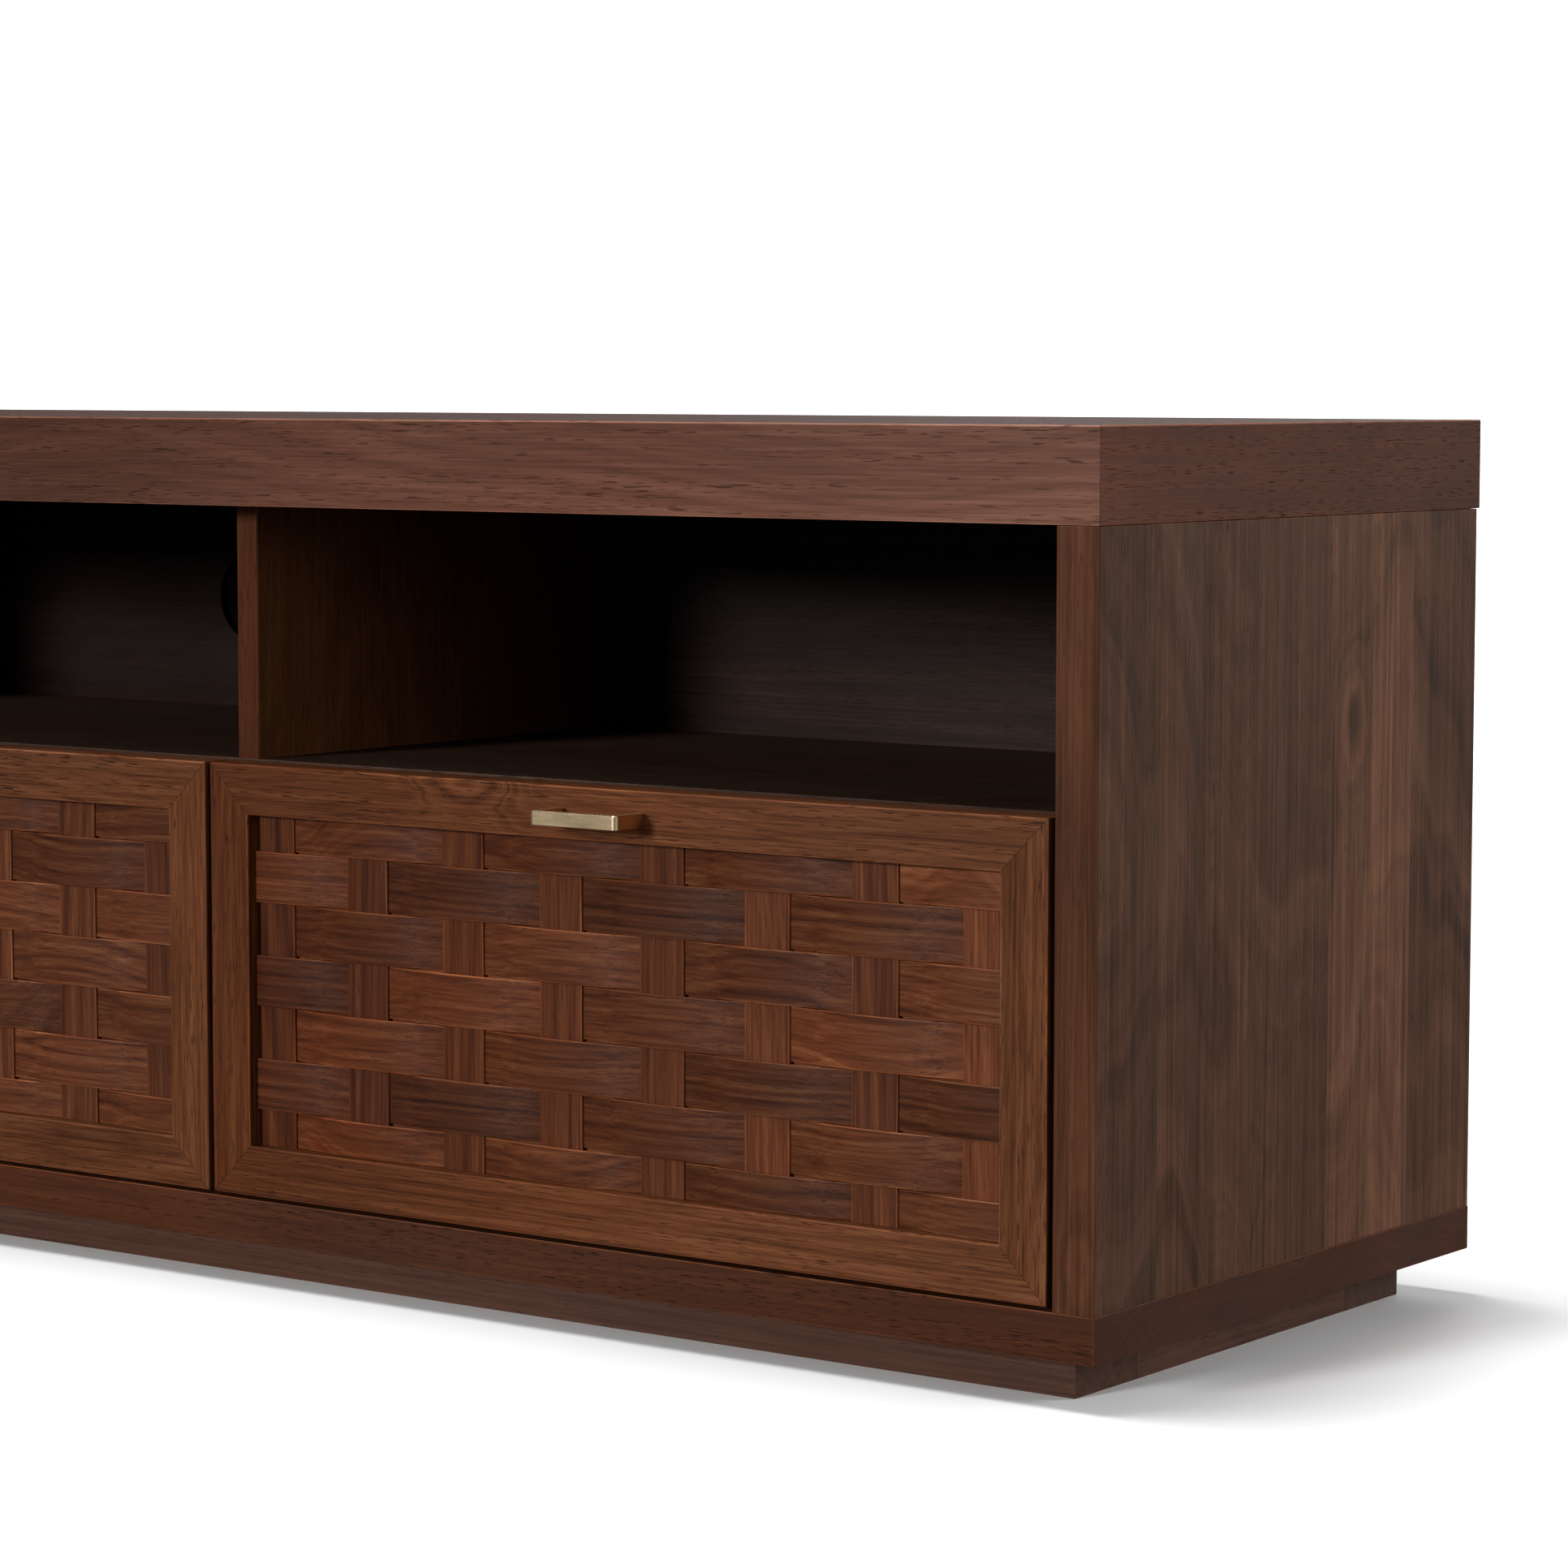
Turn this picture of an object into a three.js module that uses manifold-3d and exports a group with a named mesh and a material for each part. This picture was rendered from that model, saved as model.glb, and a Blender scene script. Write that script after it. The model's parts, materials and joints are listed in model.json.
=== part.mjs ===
// A low television stand in walnut: three open bays over three drop-down doors with woven fronts.
//
// Millimetres, +Z up. +X is the viewer's right and +Y runs from the front to the back.
// The boards are laid out in a carcass frame whose Y starts at the carcass's front face and whose
// Z starts at the floor. One group then puts the origin under the middle of the whole stand.

import * as THREE from "three";
import { mergeVertices } from "three/addons/utils/BufferGeometryUtils.js";
import Module from "manifold-3d";

const wasm = await Module();
wasm.setup();

// ---- Driving dimensions -------------------------------------------------------------------

// The whole stand.
const TOP_LENGTH = 1790;
const TOP_DEPTH = 402;
const HEIGHT = 500;
const BAYS = ["left", "middle", "right"];

// The boards of the carcass.
const TOP_THICKNESS = 50;
const TOP_SKIN = 16; // the boards that the hollow top is folded up from
const SIDE_THICKNESS = 25;
const SIDE_INSET = 0.5; // side panels behind the ends of the top
const SIDE_BACK_INSET = 2; // side panels short of the top's back edge
const BASE_THICKNESS = 25;
const BASE_BACK_INSET = 1;
const SHELF_THICKNESS = 15;
const DIVIDER_THICKNESS = 15;
const FRONT_SETBACK = 35; // shelf and dividers behind the carcass front
const BACK_PANEL_THICKNESS = 9;
const BACK_RECESS = 38; // back panels' outer face in from the top's back edge
const OPEN_BAY_HEIGHT = 148;
const CABLE_HOLE_DIAMETER = 60;

// The plinth of flat boards under the base.
const PLINTH_HEIGHT = 25.5;
const PLINTH_INSET = 29.5;
const PLINTH_BOARD_WIDTH = 60;

// The doors.
const DOOR_THICKNESS = 20;
const DOOR_GAP = 4.1; // beside each door
const DOOR_BOTTOM_GAP = 2.1;
const DOOR_ABOVE_SHELF = 0.3;
const FRAME_WIDTH = 29;
const FRAME_LIP = 12; // thickness of the frame in front of its rebate
const REBATE = 8; // how far the rebate is cut into the frame's width
const MITRE_GAP = 0.3;
const PANEL_CLEARANCE = 0.5; // around the woven panel in its rebate
const PANEL_BOARD_THICKNESS = 5;

// The weave: flat upright strips, and level strips that arch over every second one.
const STRIP_WIDTH = 29.4;
const LEVEL_PITCH = 30;
const UPRIGHT_PITCH = 70;
const UPRIGHT_DEPTH = 8.4; // front of the upright strips, behind the door's front
const LEVEL_END_DEPTH = 9.4; // where a level strip dives under an upright one
const LEVEL_CREST_DEPTH = 5.2;
const STRIP_SEGMENTS = 4;

// The pull, a strap bent to a U.
const HANDLE_LENGTH = 60;
const HANDLE_HEIGHT = 8;
const HANDLE_PROJECTION = 25;
const HANDLE_STRAP = 5;
const HANDLE_CORNER = 3;
const HANDLE_BELOW_TOP = 15.6; // the pull's middle below the door's top edge

// The concealed hinges: an arm on the base reaches into a notch in the door's bottom rail.
const HINGE_INSET = 5; // axis behind the door's front face
const HINGE_RISE = 7.4; // axis above the door's bottom edge
const HINGE_FROM_END = 80;
const HINGE_ARM_WIDTH = 6;
const HINGE_EAR = 2;
const HINGE_SIDE_PLAY = 0.5;
const HINGE_KNUCKLE_RADIUS = 2.5;
const HINGE_PIN_RADIUS = 1.5;
const HINGE_PIN_CLEARANCE = 0.2;
const NOTCH_SKIN = 2.2; // wood left in front of the notch
const NOTCH_HEADROOM = 1.5;
const HINGE_PLATE = 1.5;
const HINGE_PLATE_WIDTH = 24;
const HINGE_PLATE_HEIGHT = 27;
const HINGE_RAIL_THICKNESS = 2;
const HINGE_RAIL_DEPTH = 22;
const HINGE_RAIL_OVERHANG = 20;
const HINGE_LEG = 8;
const BEHIND_DOOR = 2; // free space between a door's back and fixed hardware

// The slotted stay that stops a door level. The pivot on the door and the stud on the wall lie on
// one circle about the hinge axis, so the bar turns half as far as the door.
const STAY_RADIUS = 85;
const STAY_PIVOT_BEHIND = 7; // pivot behind the door's back
const STAY_STUD_ANGLE = 35; // degrees from upright, seen from the hinge axis
const STAY_OPEN_ANGLE = 90;
const STAY_BAR_WIDTH = 10;
const STAY_BAR_THICKNESS = 2;
const STAY_FROM_WALL = 3.2;
const STAY_PIN_RADIUS = 2;
const STAY_STUD_RADIUS = 2.2;
const STAY_CLEARANCE = 0.3;
const STAY_SIDE_PLAY = 0.8;
const STAY_FLANGE_RADIUS = 10;
const STAY_FLANGE = 2.4;
const STAY_HEAD_RADIUS = 4.5;
const STAY_HEAD = 2;
const STAY_EAR = 1.5;
const STAY_PLATE_WIDTH = 16;
const STAY_PLATE_HEIGHT = 30;

// The magnetic catches under the shelf.
const CATCH_LENGTH = 44;
const CATCH_DEPTH = 24;
const CATCH_HEIGHT = 13;

// ---- Derived places, in the carcass frame -------------------------------------------------

const halfTop = TOP_LENGTH / 2;
const sideOuter = halfTop - SIDE_INSET;
const sideInner = sideOuter - SIDE_THICKNESS;
const sideBack = TOP_DEPTH - SIDE_BACK_INSET;
const baseBack = TOP_DEPTH - BASE_BACK_INSET;

const baseTop = PLINTH_HEIGHT + BASE_THICKNESS;
const topUnderside = HEIGHT - TOP_THICKNESS;
const shelfTop = topUnderside - OPEN_BAY_HEIGHT;
const shelfUnderside = shelfTop - SHELF_THICKNESS;
const backPanelBack = TOP_DEPTH - BACK_RECESS;
const backPanelFront = backPanelBack - BACK_PANEL_THICKNESS;

const doorWidth = (2 * sideInner - (BAYS.length + 1) * DOOR_GAP) / BAYS.length;
const doorPitch = doorWidth + DOOR_GAP;
const doorBottom = baseTop + DOOR_BOTTOM_GAP;
const doorTop = shelfTop + DOOR_ABOVE_SHELF;
const doorMiddle = (doorBottom + doorTop) / 2;
const openingHalfWidth = doorWidth / 2 - FRAME_WIDTH;
const openingHalfHeight = (doorTop - doorBottom) / 2 - FRAME_WIDTH;

const hingeY = HINGE_INSET;
const hingeZ = doorBottom + HINGE_RISE;
const notchTop = hingeZ + HINGE_KNUCKLE_RADIUS + NOTCH_HEADROOM;
const notchHalfWidth = HINGE_ARM_WIDTH / 2 + 2 * HINGE_SIDE_PLAY + HINGE_EAR;

const degrees = Math.PI / 180;
const stayPivotY = DOOR_THICKNESS + STAY_PIVOT_BEHIND;
const stayPivotZ = hingeZ + Math.sqrt(STAY_RADIUS ** 2 - (stayPivotY - hingeY) ** 2);
const stayPivotAngle = Math.asin((stayPivotY - hingeY) / STAY_RADIUS) / degrees;
const stayStudY = hingeY + STAY_RADIUS * Math.sin(STAY_STUD_ANGLE * degrees);
const stayStudZ = hingeZ + STAY_RADIUS * Math.cos(STAY_STUD_ANGLE * degrees);
const chordOver = (angle) => 2 * STAY_RADIUS * Math.sin((angle / 2) * degrees);
const closedReach = chordOver(STAY_STUD_ANGLE - stayPivotAngle);
const openReach = chordOver(STAY_STUD_ANGLE - stayPivotAngle + STAY_OPEN_ANGLE);
const stayTilt = -((STAY_STUD_ANGLE + stayPivotAngle) / 2) * degrees;

// ---- Materials ----------------------------------------------------------------------------

function finish(color, roughness, metalness = 0) {
  return new THREE.MeshStandardMaterial({ color, roughness, metalness });
}

const veneer = finish(0x5a3626, 0.55);
const sideVeneer = finish(0x4a3228, 0.6);
const doorWalnut = finish(0x6a3b26, 0.5);
const stripWalnut = finish(0x633222, 0.45);
const backVeneer = finish(0x45342c, 0.65);
const brass = finish(0xc9ad78, 0.3, 1);
const zinc = finish(0x9a9c9e, 0.4, 1);
const greyPlastic = finish(0x55504b, 0.6);

// ---- Shape helpers ------------------------------------------------------------------------

// A block between two corners. Its vertices are set to the very numbers given, so that boards
// which share a plane touch without a gap or an overlap.
function block([x0, x1], [y0, y1], [z0, z1]) {
  return frustum([x0, x1], [y0, y1], z0, [x0, x1], [y0, y1], z1);
}

// The solid between a level rectangle at z0 and another at z1.
function frustum(lowX, lowY, z0, highX, highY, z1) {
  const geometry = new THREE.BoxGeometry(1, 1, 1);
  const position = geometry.getAttribute("position");
  for (let i = 0; i < position.count; i += 1) {
    const high = position.getZ(i) > 0;
    const xs = high ? highX : lowX;
    const ys = high ? highY : lowY;
    position.setXYZ(i, xs[position.getX(i) > 0 ? 1 : 0], ys[position.getY(i) > 0 ? 1 : 0], high ? z1 : z0);
  }
  geometry.computeVertexNormals();
  return geometry;
}

function polygon(points) {
  return new THREE.Shape(points.map(([u, v]) => new THREE.Vector2(u, v)));
}

function extrude(shape, depth, curveSegments = 12) {
  return new THREE.ExtrudeGeometry(shape, { depth, bevelEnabled: false, curveSegments });
}

// Turns a shape drawn in (Y, Z) and extruded along its third axis so that it runs along X.
function drawnInYZ(geometry, fromX) {
  const axes = [new THREE.Vector3(0, 1, 0), new THREE.Vector3(0, 0, 1), new THREE.Vector3(1, 0, 0)];
  geometry.applyMatrix4(new THREE.Matrix4().makeBasis(...axes));
  return geometry.translate(fromX, 0, 0);
}

function rodAlongX(radius, [x0, x1], y, z, sides = 12) {
  const rod = new THREE.CylinderGeometry(radius, radius, x1 - x0, sides);
  return rod.rotateZ(Math.PI / 2).translate((x0 + x1) / 2, y, z);
}

function solidOf(geometry) {
  const bare = geometry.clone();
  bare.deleteAttribute("normal");
  bare.deleteAttribute("uv");
  const merged = mergeVertices(bare, 1e-4);
  const vertProperties = new Float32Array(merged.getAttribute("position").array);
  const triVerts = new Uint32Array(merged.index.array);
  return new wasm.Manifold(new wasm.Mesh({ numProp: 3, vertProperties, triVerts }));
}

function geometryOf(solid) {
  const mesh = solid.getMesh();
  const geometry = new THREE.BufferGeometry();
  geometry.setAttribute("position", new THREE.BufferAttribute(mesh.vertProperties, 3));
  geometry.setIndex(new THREE.BufferAttribute(mesh.triVerts, 1));
  geometry.computeVertexNormals();
  return geometry;
}

function joined(geometries) {
  return geometries.map(solidOf).reduce((whole, piece) => whole.add(piece));
}

function cut(geometry, tools) {
  return tools.reduce((whole, tool) => whole.subtract(solidOf(tool)), solidOf(geometry));
}

function piece(name, geometry, material) {
  const mesh = new THREE.Mesh(geometry, material);
  mesh.name = name;
  return mesh;
}

function board(name, material, xs, ys, zs) {
  return piece(name, block(xs, ys, zs), material);
}

// ---- The hollow top -----------------------------------------------------------------------

// The panel and its three fascias meet in long mitres, so only their outer faces show.
function buildTop() {
  const top = new THREE.Group();
  const inner = halfTop - TOP_SKIN;
  const skinUnderside = HEIGHT - TOP_SKIN;
  const panel = frustum(
    [-inner + MITRE_GAP, inner - MITRE_GAP],
    [TOP_SKIN + MITRE_GAP, TOP_DEPTH],
    skinUnderside,
    [-halfTop + MITRE_GAP, halfTop - MITRE_GAP],
    [MITRE_GAP, TOP_DEPTH],
    HEIGHT,
  );
  top.add(piece("top_panel", panel, veneer));
  top.add(piece("top_front_fascia", frontFascia(inner, skinUnderside), veneer));
  top.add(piece("top_left_fascia", endFascia(-1, inner, skinUnderside), veneer));
  top.add(piece("top_right_fascia", endFascia(1, inner, skinUnderside), veneer));
  const fit = [-inner, inner];
  const railFront = TOP_DEPTH - TOP_SKIN;
  const underboardRise = [topUnderside, topUnderside + TOP_SKIN];
  top.add(board("top_underboard", veneer, fit, [TOP_SKIN, railFront], underboardRise));
  top.add(board("top_back_rail", veneer, fit, [railFront, TOP_DEPTH], [topUnderside, skinUnderside]));
  return top;
}

// Eight corners: the outer face, and an inner face that is shorter at the mitred edges.
function frontFascia(inner, skinUnderside) {
  const geometry = new THREE.BoxGeometry(1, 1, 1);
  const position = geometry.getAttribute("position");
  for (let i = 0; i < position.count; i += 1) {
    const back = position.getY(i) > 0;
    const x = Math.sign(position.getX(i)) * (back ? inner : halfTop);
    const crown = back ? skinUnderside : HEIGHT;
    position.setXYZ(i, x, back ? TOP_SKIN : 0, position.getZ(i) > 0 ? crown : topUnderside);
  }
  geometry.computeVertexNormals();
  return geometry;
}

function endFascia(side, inner, skinUnderside) {
  const geometry = new THREE.BoxGeometry(1, 1, 1);
  const position = geometry.getAttribute("position");
  for (let i = 0; i < position.count; i += 1) {
    const outer = position.getX(i) * side > 0;
    const front = (outer ? 0 : TOP_SKIN) + MITRE_GAP;
    const crown = outer ? HEIGHT : skinUnderside;
    const y = position.getY(i) > 0 ? TOP_DEPTH : front;
    position.setXYZ(i, side * (outer ? halfTop : inner), y, position.getZ(i) > 0 ? crown : topUnderside);
  }
  geometry.computeVertexNormals();
  return geometry;
}

// ---- Sides, base, shelf, dividers and backs -----------------------------------------------

function buildCase() {
  const box = new THREE.Group();
  const upright = [baseTop, topUnderside];
  box.add(board("left_side_panel", sideVeneer, [-sideOuter, -sideInner], [0, sideBack], upright));
  box.add(board("right_side_panel", sideVeneer, [sideInner, sideOuter], [0, sideBack], upright));
  box.add(board("base_panel", veneer, [-sideOuter, sideOuter], [0, baseBack], [PLINTH_HEIGHT, baseTop]));

  const fit = [-sideInner, sideInner];
  box.add(board("shelf_board", veneer, fit, [FRONT_SETBACK, backPanelBack], [shelfUnderside, shelfTop]));
  for (const [i, name] of ["left", "right"].entries()) {
    const middle = (i - 0.5) * doorPitch;
    const across = [middle - DIVIDER_THICKNESS / 2, middle + DIVIDER_THICKNESS / 2];
    const deep = [FRONT_SETBACK, backPanelFront];
    box.add(board(`upper_${name}_divider`, veneer, across, deep, [shelfTop, topUnderside]));
    box.add(board(`lower_${name}_divider`, veneer, across, deep, [baseTop, shelfUnderside]));
  }

  const backDepth = [backPanelFront, backPanelBack];
  box.add(board("lower_back_panel", backVeneer, fit, backDepth, [baseTop, shelfUnderside]));
  const holeHeight = (shelfTop + topUnderside) / 2;
  const radius = CABLE_HOLE_DIAMETER / 2;
  const drill = new THREE.CylinderGeometry(radius, radius, 3 * BACK_PANEL_THICKNESS, 48);
  drill.translate(0, (backPanelFront + backPanelBack) / 2, holeHeight);
  const panel = cut(block(fit, backDepth, [shelfTop, topUnderside]), [drill]);
  box.add(piece("upper_back_panel", geometryOf(panel), backVeneer));
  return box;
}

// ---- The plinth ---------------------------------------------------------------------------

function buildPlinth() {
  const plinth = new THREE.Group();
  const outer = sideOuter - PLINTH_INSET;
  const back = baseBack - PLINTH_INSET;
  const rise = [0, PLINTH_HEIGHT];
  const frontRail = [PLINTH_INSET, PLINTH_INSET + PLINTH_BOARD_WIDTH];
  const backRail = [back - PLINTH_BOARD_WIDTH, back];
  const between = [frontRail[1], backRail[0]];
  plinth.add(board("plinth_front", veneer, [-outer, outer], frontRail, rise));
  plinth.add(board("plinth_back", veneer, [-outer, outer], backRail, rise));
  plinth.add(board("plinth_left", veneer, [-outer, PLINTH_BOARD_WIDTH - outer], between, rise));
  plinth.add(board("plinth_right", veneer, [outer - PLINTH_BOARD_WIDTH, outer], between, rise));
  const half = PLINTH_BOARD_WIDTH / 2;
  plinth.add(board("plinth_centre", veneer, [-half, half], between, rise));
  return plinth;
}

// ---- A door -------------------------------------------------------------------------------

// A frame member's section, as points (inwards from the outer edge, back from the front face):
// full thickness outside, and only the lip where the rebate takes the panel.
const frameSection = [
  [0, 0],
  [FRAME_WIDTH, 0],
  [FRAME_WIDTH, FRAME_LIP],
  [FRAME_WIDTH - REBATE, FRAME_LIP],
  [FRAME_WIDTH - REBATE, DOOR_THICKNESS],
  [0, DOOR_THICKNESS],
];

// A straight member of that section along X, centred, with its outer edge at the given height and
// its inner edge below it. The section is extruded by 1 and then each end is drawn out to a mitre.
function mitredMember(length, edge) {
  const geometry = extrude(polygon(frameSection), 1);
  const position = geometry.getAttribute("position");
  for (let i = 0; i < position.count; i += 1) {
    const inward = position.getX(i);
    const depth = position.getY(i);
    const end = position.getZ(i) > 0.5 ? 1 : -1;
    position.setXYZ(i, end * (length / 2 - MITRE_GAP / 2 - inward), depth, edge - inward);
  }
  geometry.computeVertexNormals();
  return geometry;
}

// A quarter or half turn about the Y axis, with exact numbers.
function turnedAboutY(geometry, quarterTurns) {
  const position = geometry.getAttribute("position");
  for (let i = 0; i < position.count; i += 1) {
    let x = position.getX(i);
    let z = position.getZ(i);
    for (let turn = 0; turn < quarterTurns; turn += 1) {
      [x, z] = [z, -x];
    }
    position.setXYZ(i, x, position.getY(i), z);
  }
  geometry.computeVertexNormals();
  return geometry;
}

// The strips lie on a thin board, and the board sits in the frame's rebate.
function wovenPanel() {
  const margin = REBATE - PANEL_CLEARANCE;
  const boardX = openingHalfWidth + margin;
  const boardZ = openingHalfHeight + margin;
  const limitX = openingHalfWidth - MITRE_GAP;
  const limitZ = openingHalfHeight - MITRE_GAP;
  const overlap = PANEL_BOARD_THICKNESS / 10;
  const seat = FRAME_LIP + overlap;
  const shapes = [
    block([-boardX, boardX], [FRAME_LIP, FRAME_LIP + PANEL_BOARD_THICKNESS], [-boardZ, boardZ]),
    // A ground between the strips keeps them one solid.
    block([-limitX, limitX], [(LEVEL_END_DEPTH + FRAME_LIP) / 2, seat], [-limitZ, limitZ]),
  ];
  const uprights = stripCentres(UPRIGHT_PITCH, UPRIGHT_PITCH / 2, limitX);
  const levels = stripCentres(LEVEL_PITCH, 0, limitZ);
  for (const x of uprights) {
    shapes.push(block(stripSpan(x, limitX), [UPRIGHT_DEPTH, seat], [-limitZ, limitZ]));
  }
  levels.forEach((z, row) => {
    uprights.forEach((x, column) => {
      if ((row + column) % 2 === 1) {
        shapes.push(levelArch(x, stripSpan(z, limitZ), limitX, seat));
      }
    });
  });
  return geometryOf(joined(shapes));
}

// Strip centres both sides of the middle, out to the last strip that still shows.
function stripCentres(pitch, first, limit) {
  const centres = [];
  const least = 2 * MITRE_GAP;
  for (let at = first; at - STRIP_WIDTH / 2 < limit - least; at += pitch) {
    centres.push(at);
    if (at > 0) {
      centres.push(-at);
    }
  }
  return centres.sort((a, b) => a - b);
}

function stripSpan(centre, limit) {
  return [Math.max(centre - STRIP_WIDTH / 2, -limit), Math.min(centre + STRIP_WIDTH / 2, limit)];
}

// One stretch of a level strip: a raised-cosine arch over the upright strip at x.
function levelArch(x, zs, limitX, seat) {
  const reach = UPRIGHT_PITCH - STRIP_WIDTH / 2;
  const x0 = Math.max(x - reach, -limitX);
  const x1 = Math.min(x + reach, limitX);
  const outline = [];
  for (let i = 0; i <= STRIP_SEGMENTS; i += 1) {
    const at = x0 + ((x1 - x0) * i) / STRIP_SEGMENTS;
    const lift = (1 + Math.cos((Math.PI * (at - x)) / reach)) / 2;
    outline.push([at, LEVEL_END_DEPTH - (LEVEL_END_DEPTH - LEVEL_CREST_DEPTH) * lift]);
  }
  outline.push([x1, seat], [x0, seat]);
  return extrude(polygon(outline), zs[1] - zs[0]).translate(0, 0, zs[0]);
}

// A strap bent to a U, drawn from above.
function pull() {
  const half = HANDLE_LENGTH / 2;
  const out = -HANDLE_PROJECTION;
  const shape = new THREE.Shape();
  shape.moveTo(-half, 0);
  shape.lineTo(-half, out + HANDLE_CORNER);
  shape.absarc(-half + HANDLE_CORNER, out + HANDLE_CORNER, HANDLE_CORNER, Math.PI, 1.5 * Math.PI);
  shape.absarc(half - HANDLE_CORNER, out + HANDLE_CORNER, HANDLE_CORNER, 1.5 * Math.PI, 2 * Math.PI);
  shape.lineTo(half, 0);
  shape.lineTo(half - HANDLE_STRAP, 0);
  shape.lineTo(half - HANDLE_STRAP, out + HANDLE_STRAP);
  shape.lineTo(-half + HANDLE_STRAP, out + HANDLE_STRAP);
  shape.lineTo(-half + HANDLE_STRAP, 0);
  return extrude(shape, HANDLE_HEIGHT, 6).translate(0, 0, doorTop - HANDLE_BELOW_TOP - HANDLE_HEIGHT / 2);
}

function hingeCentres() {
  const offset = doorWidth / 2 - HINGE_FROM_END;
  return { left: -offset, right: offset };
}

function hingeNotches() {
  return Object.values(hingeCentres()).map((x) =>
    block(
      [x - notchHalfWidth, x + notchHalfWidth],
      [NOTCH_SKIN, DOOR_THICKNESS + 1],
      [doorBottom - 1, notchTop],
    ),
  );
}

// The door's half of a hinge: a plate on the back, and two ears with the pin between them.
function hingeLeaf(x) {
  const backFace = DOOR_THICKNESS + HINGE_PLATE;
  const earInner = HINGE_ARM_WIDTH / 2 + HINGE_SIDE_PLAY;
  const earOuter = earInner + HINGE_EAR;
  const plateHalf = HINGE_PLATE_WIDTH / 2;
  const plateFoot = hingeZ + HINGE_KNUCKLE_RADIUS + NOTCH_HEADROOM / 3;
  const plateRise = [plateFoot, plateFoot + HINGE_PLATE_HEIGHT];
  const earRise = [hingeZ - HINGE_KNUCKLE_RADIUS, notchTop - NOTCH_HEADROOM / 3];
  const pinEnd = (earInner + earOuter) / 2;
  const shapes = [
    block([x - plateHalf, x + plateHalf], [DOOR_THICKNESS, backFace], plateRise),
    rodAlongX(HINGE_PIN_RADIUS, [x - pinEnd, x + pinEnd], hingeY, hingeZ),
  ];
  for (const span of [[x - earOuter, x - earInner], [x + earInner, x + earOuter]]) {
    shapes.push(rodAlongX(HINGE_KNUCKLE_RADIUS, span, hingeY, hingeZ));
    shapes.push(block(span, [hingeY, backFace], earRise));
  }
  return geometryOf(joined(shapes));
}

// The fixed half: a rail on the base with a cranked arm for each hinge.
function hingeRail() {
  const centres = hingeCentres();
  const front = DOOR_THICKNESS + BEHIND_DOOR;
  const reach = centres.right + HINGE_RAIL_OVERHANG;
  const half = HINGE_ARM_WIDTH / 2;
  const armTop = hingeZ + HINGE_KNUCKLE_RADIUS;
  const shapes = [
    block([-reach, reach], [front, front + HINGE_RAIL_DEPTH], [baseTop, baseTop + HINGE_RAIL_THICKNESS]),
  ];
  const bores = [];
  for (const x of Object.values(centres)) {
    const span = [x - half, x + half];
    shapes.push(rodAlongX(HINGE_KNUCKLE_RADIUS, span, hingeY, hingeZ));
    shapes.push(block(span, [hingeY, front + HINGE_LEG], [hingeZ - HINGE_KNUCKLE_RADIUS, armTop]));
    shapes.push(block(span, [front, front + HINGE_LEG], [baseTop, armTop]));
    bores.push(rodAlongX(HINGE_PIN_RADIUS + HINGE_PIN_CLEARANCE, [span[0] - 1, span[1] + 1], hingeY, hingeZ));
  }
  return geometryOf(bores.reduce((whole, bore) => whole.subtract(solidOf(bore)), joined(shapes)));
}

// ---- The stay -----------------------------------------------------------------------------

// Distances along X in these three are measured from the wall, and the bay lies towards -X.
const stayBarSpan = [-STAY_FROM_WALL - STAY_BAR_THICKNESS, -STAY_FROM_WALL];

// The bar lies along Y from its pivot, with a slot for the stud.
function stayBar() {
  const half = STAY_BAR_WIDTH / 2;
  const slotHalf = STAY_STUD_RADIUS + STAY_CLEARANCE;
  const slotFrom = closedReach - STAY_CLEARANCE;
  const slotTo = openReach + STAY_CLEARANCE;
  const shape = stadium(0, slotTo, half, new THREE.Shape());
  shape.holes.push(stadium(slotFrom, slotTo, slotHalf, new THREE.Path()));
  const pin = new THREE.Path();
  pin.absarc(0, 0, STAY_PIN_RADIUS + STAY_CLEARANCE, 0, 2 * Math.PI);
  shape.holes.push(pin);
  return drawnInYZ(extrude(shape, STAY_BAR_THICKNESS, 8), stayBarSpan[0]);
}

function stadium(from, to, half, path) {
  path.absarc(from, 0, half, Math.PI / 2, 1.5 * Math.PI);
  path.absarc(to, 0, half, -Math.PI / 2, Math.PI / 2);
  path.closePath();
  return path;
}

// A flange on the wall, a shank through the slot and a head that keeps the bar on.
function stayStud() {
  const headFrom = STAY_FROM_WALL + STAY_BAR_THICKNESS + STAY_SIDE_PLAY;
  const profile = [
    [0, 0],
    [STAY_FLANGE_RADIUS, 0],
    [STAY_FLANGE_RADIUS, STAY_FLANGE],
    [STAY_STUD_RADIUS, STAY_FLANGE],
    [STAY_STUD_RADIUS, headFrom],
    [STAY_HEAD_RADIUS, headFrom],
    [STAY_HEAD_RADIUS, headFrom + STAY_HEAD],
    [0, headFrom + STAY_HEAD],
  ];
  const turned = new THREE.LatheGeometry(profile.map(([r, h]) => new THREE.Vector2(r, h)), 16);
  return geometryOf(solidOf(turned.rotateZ(Math.PI / 2)));
}

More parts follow.
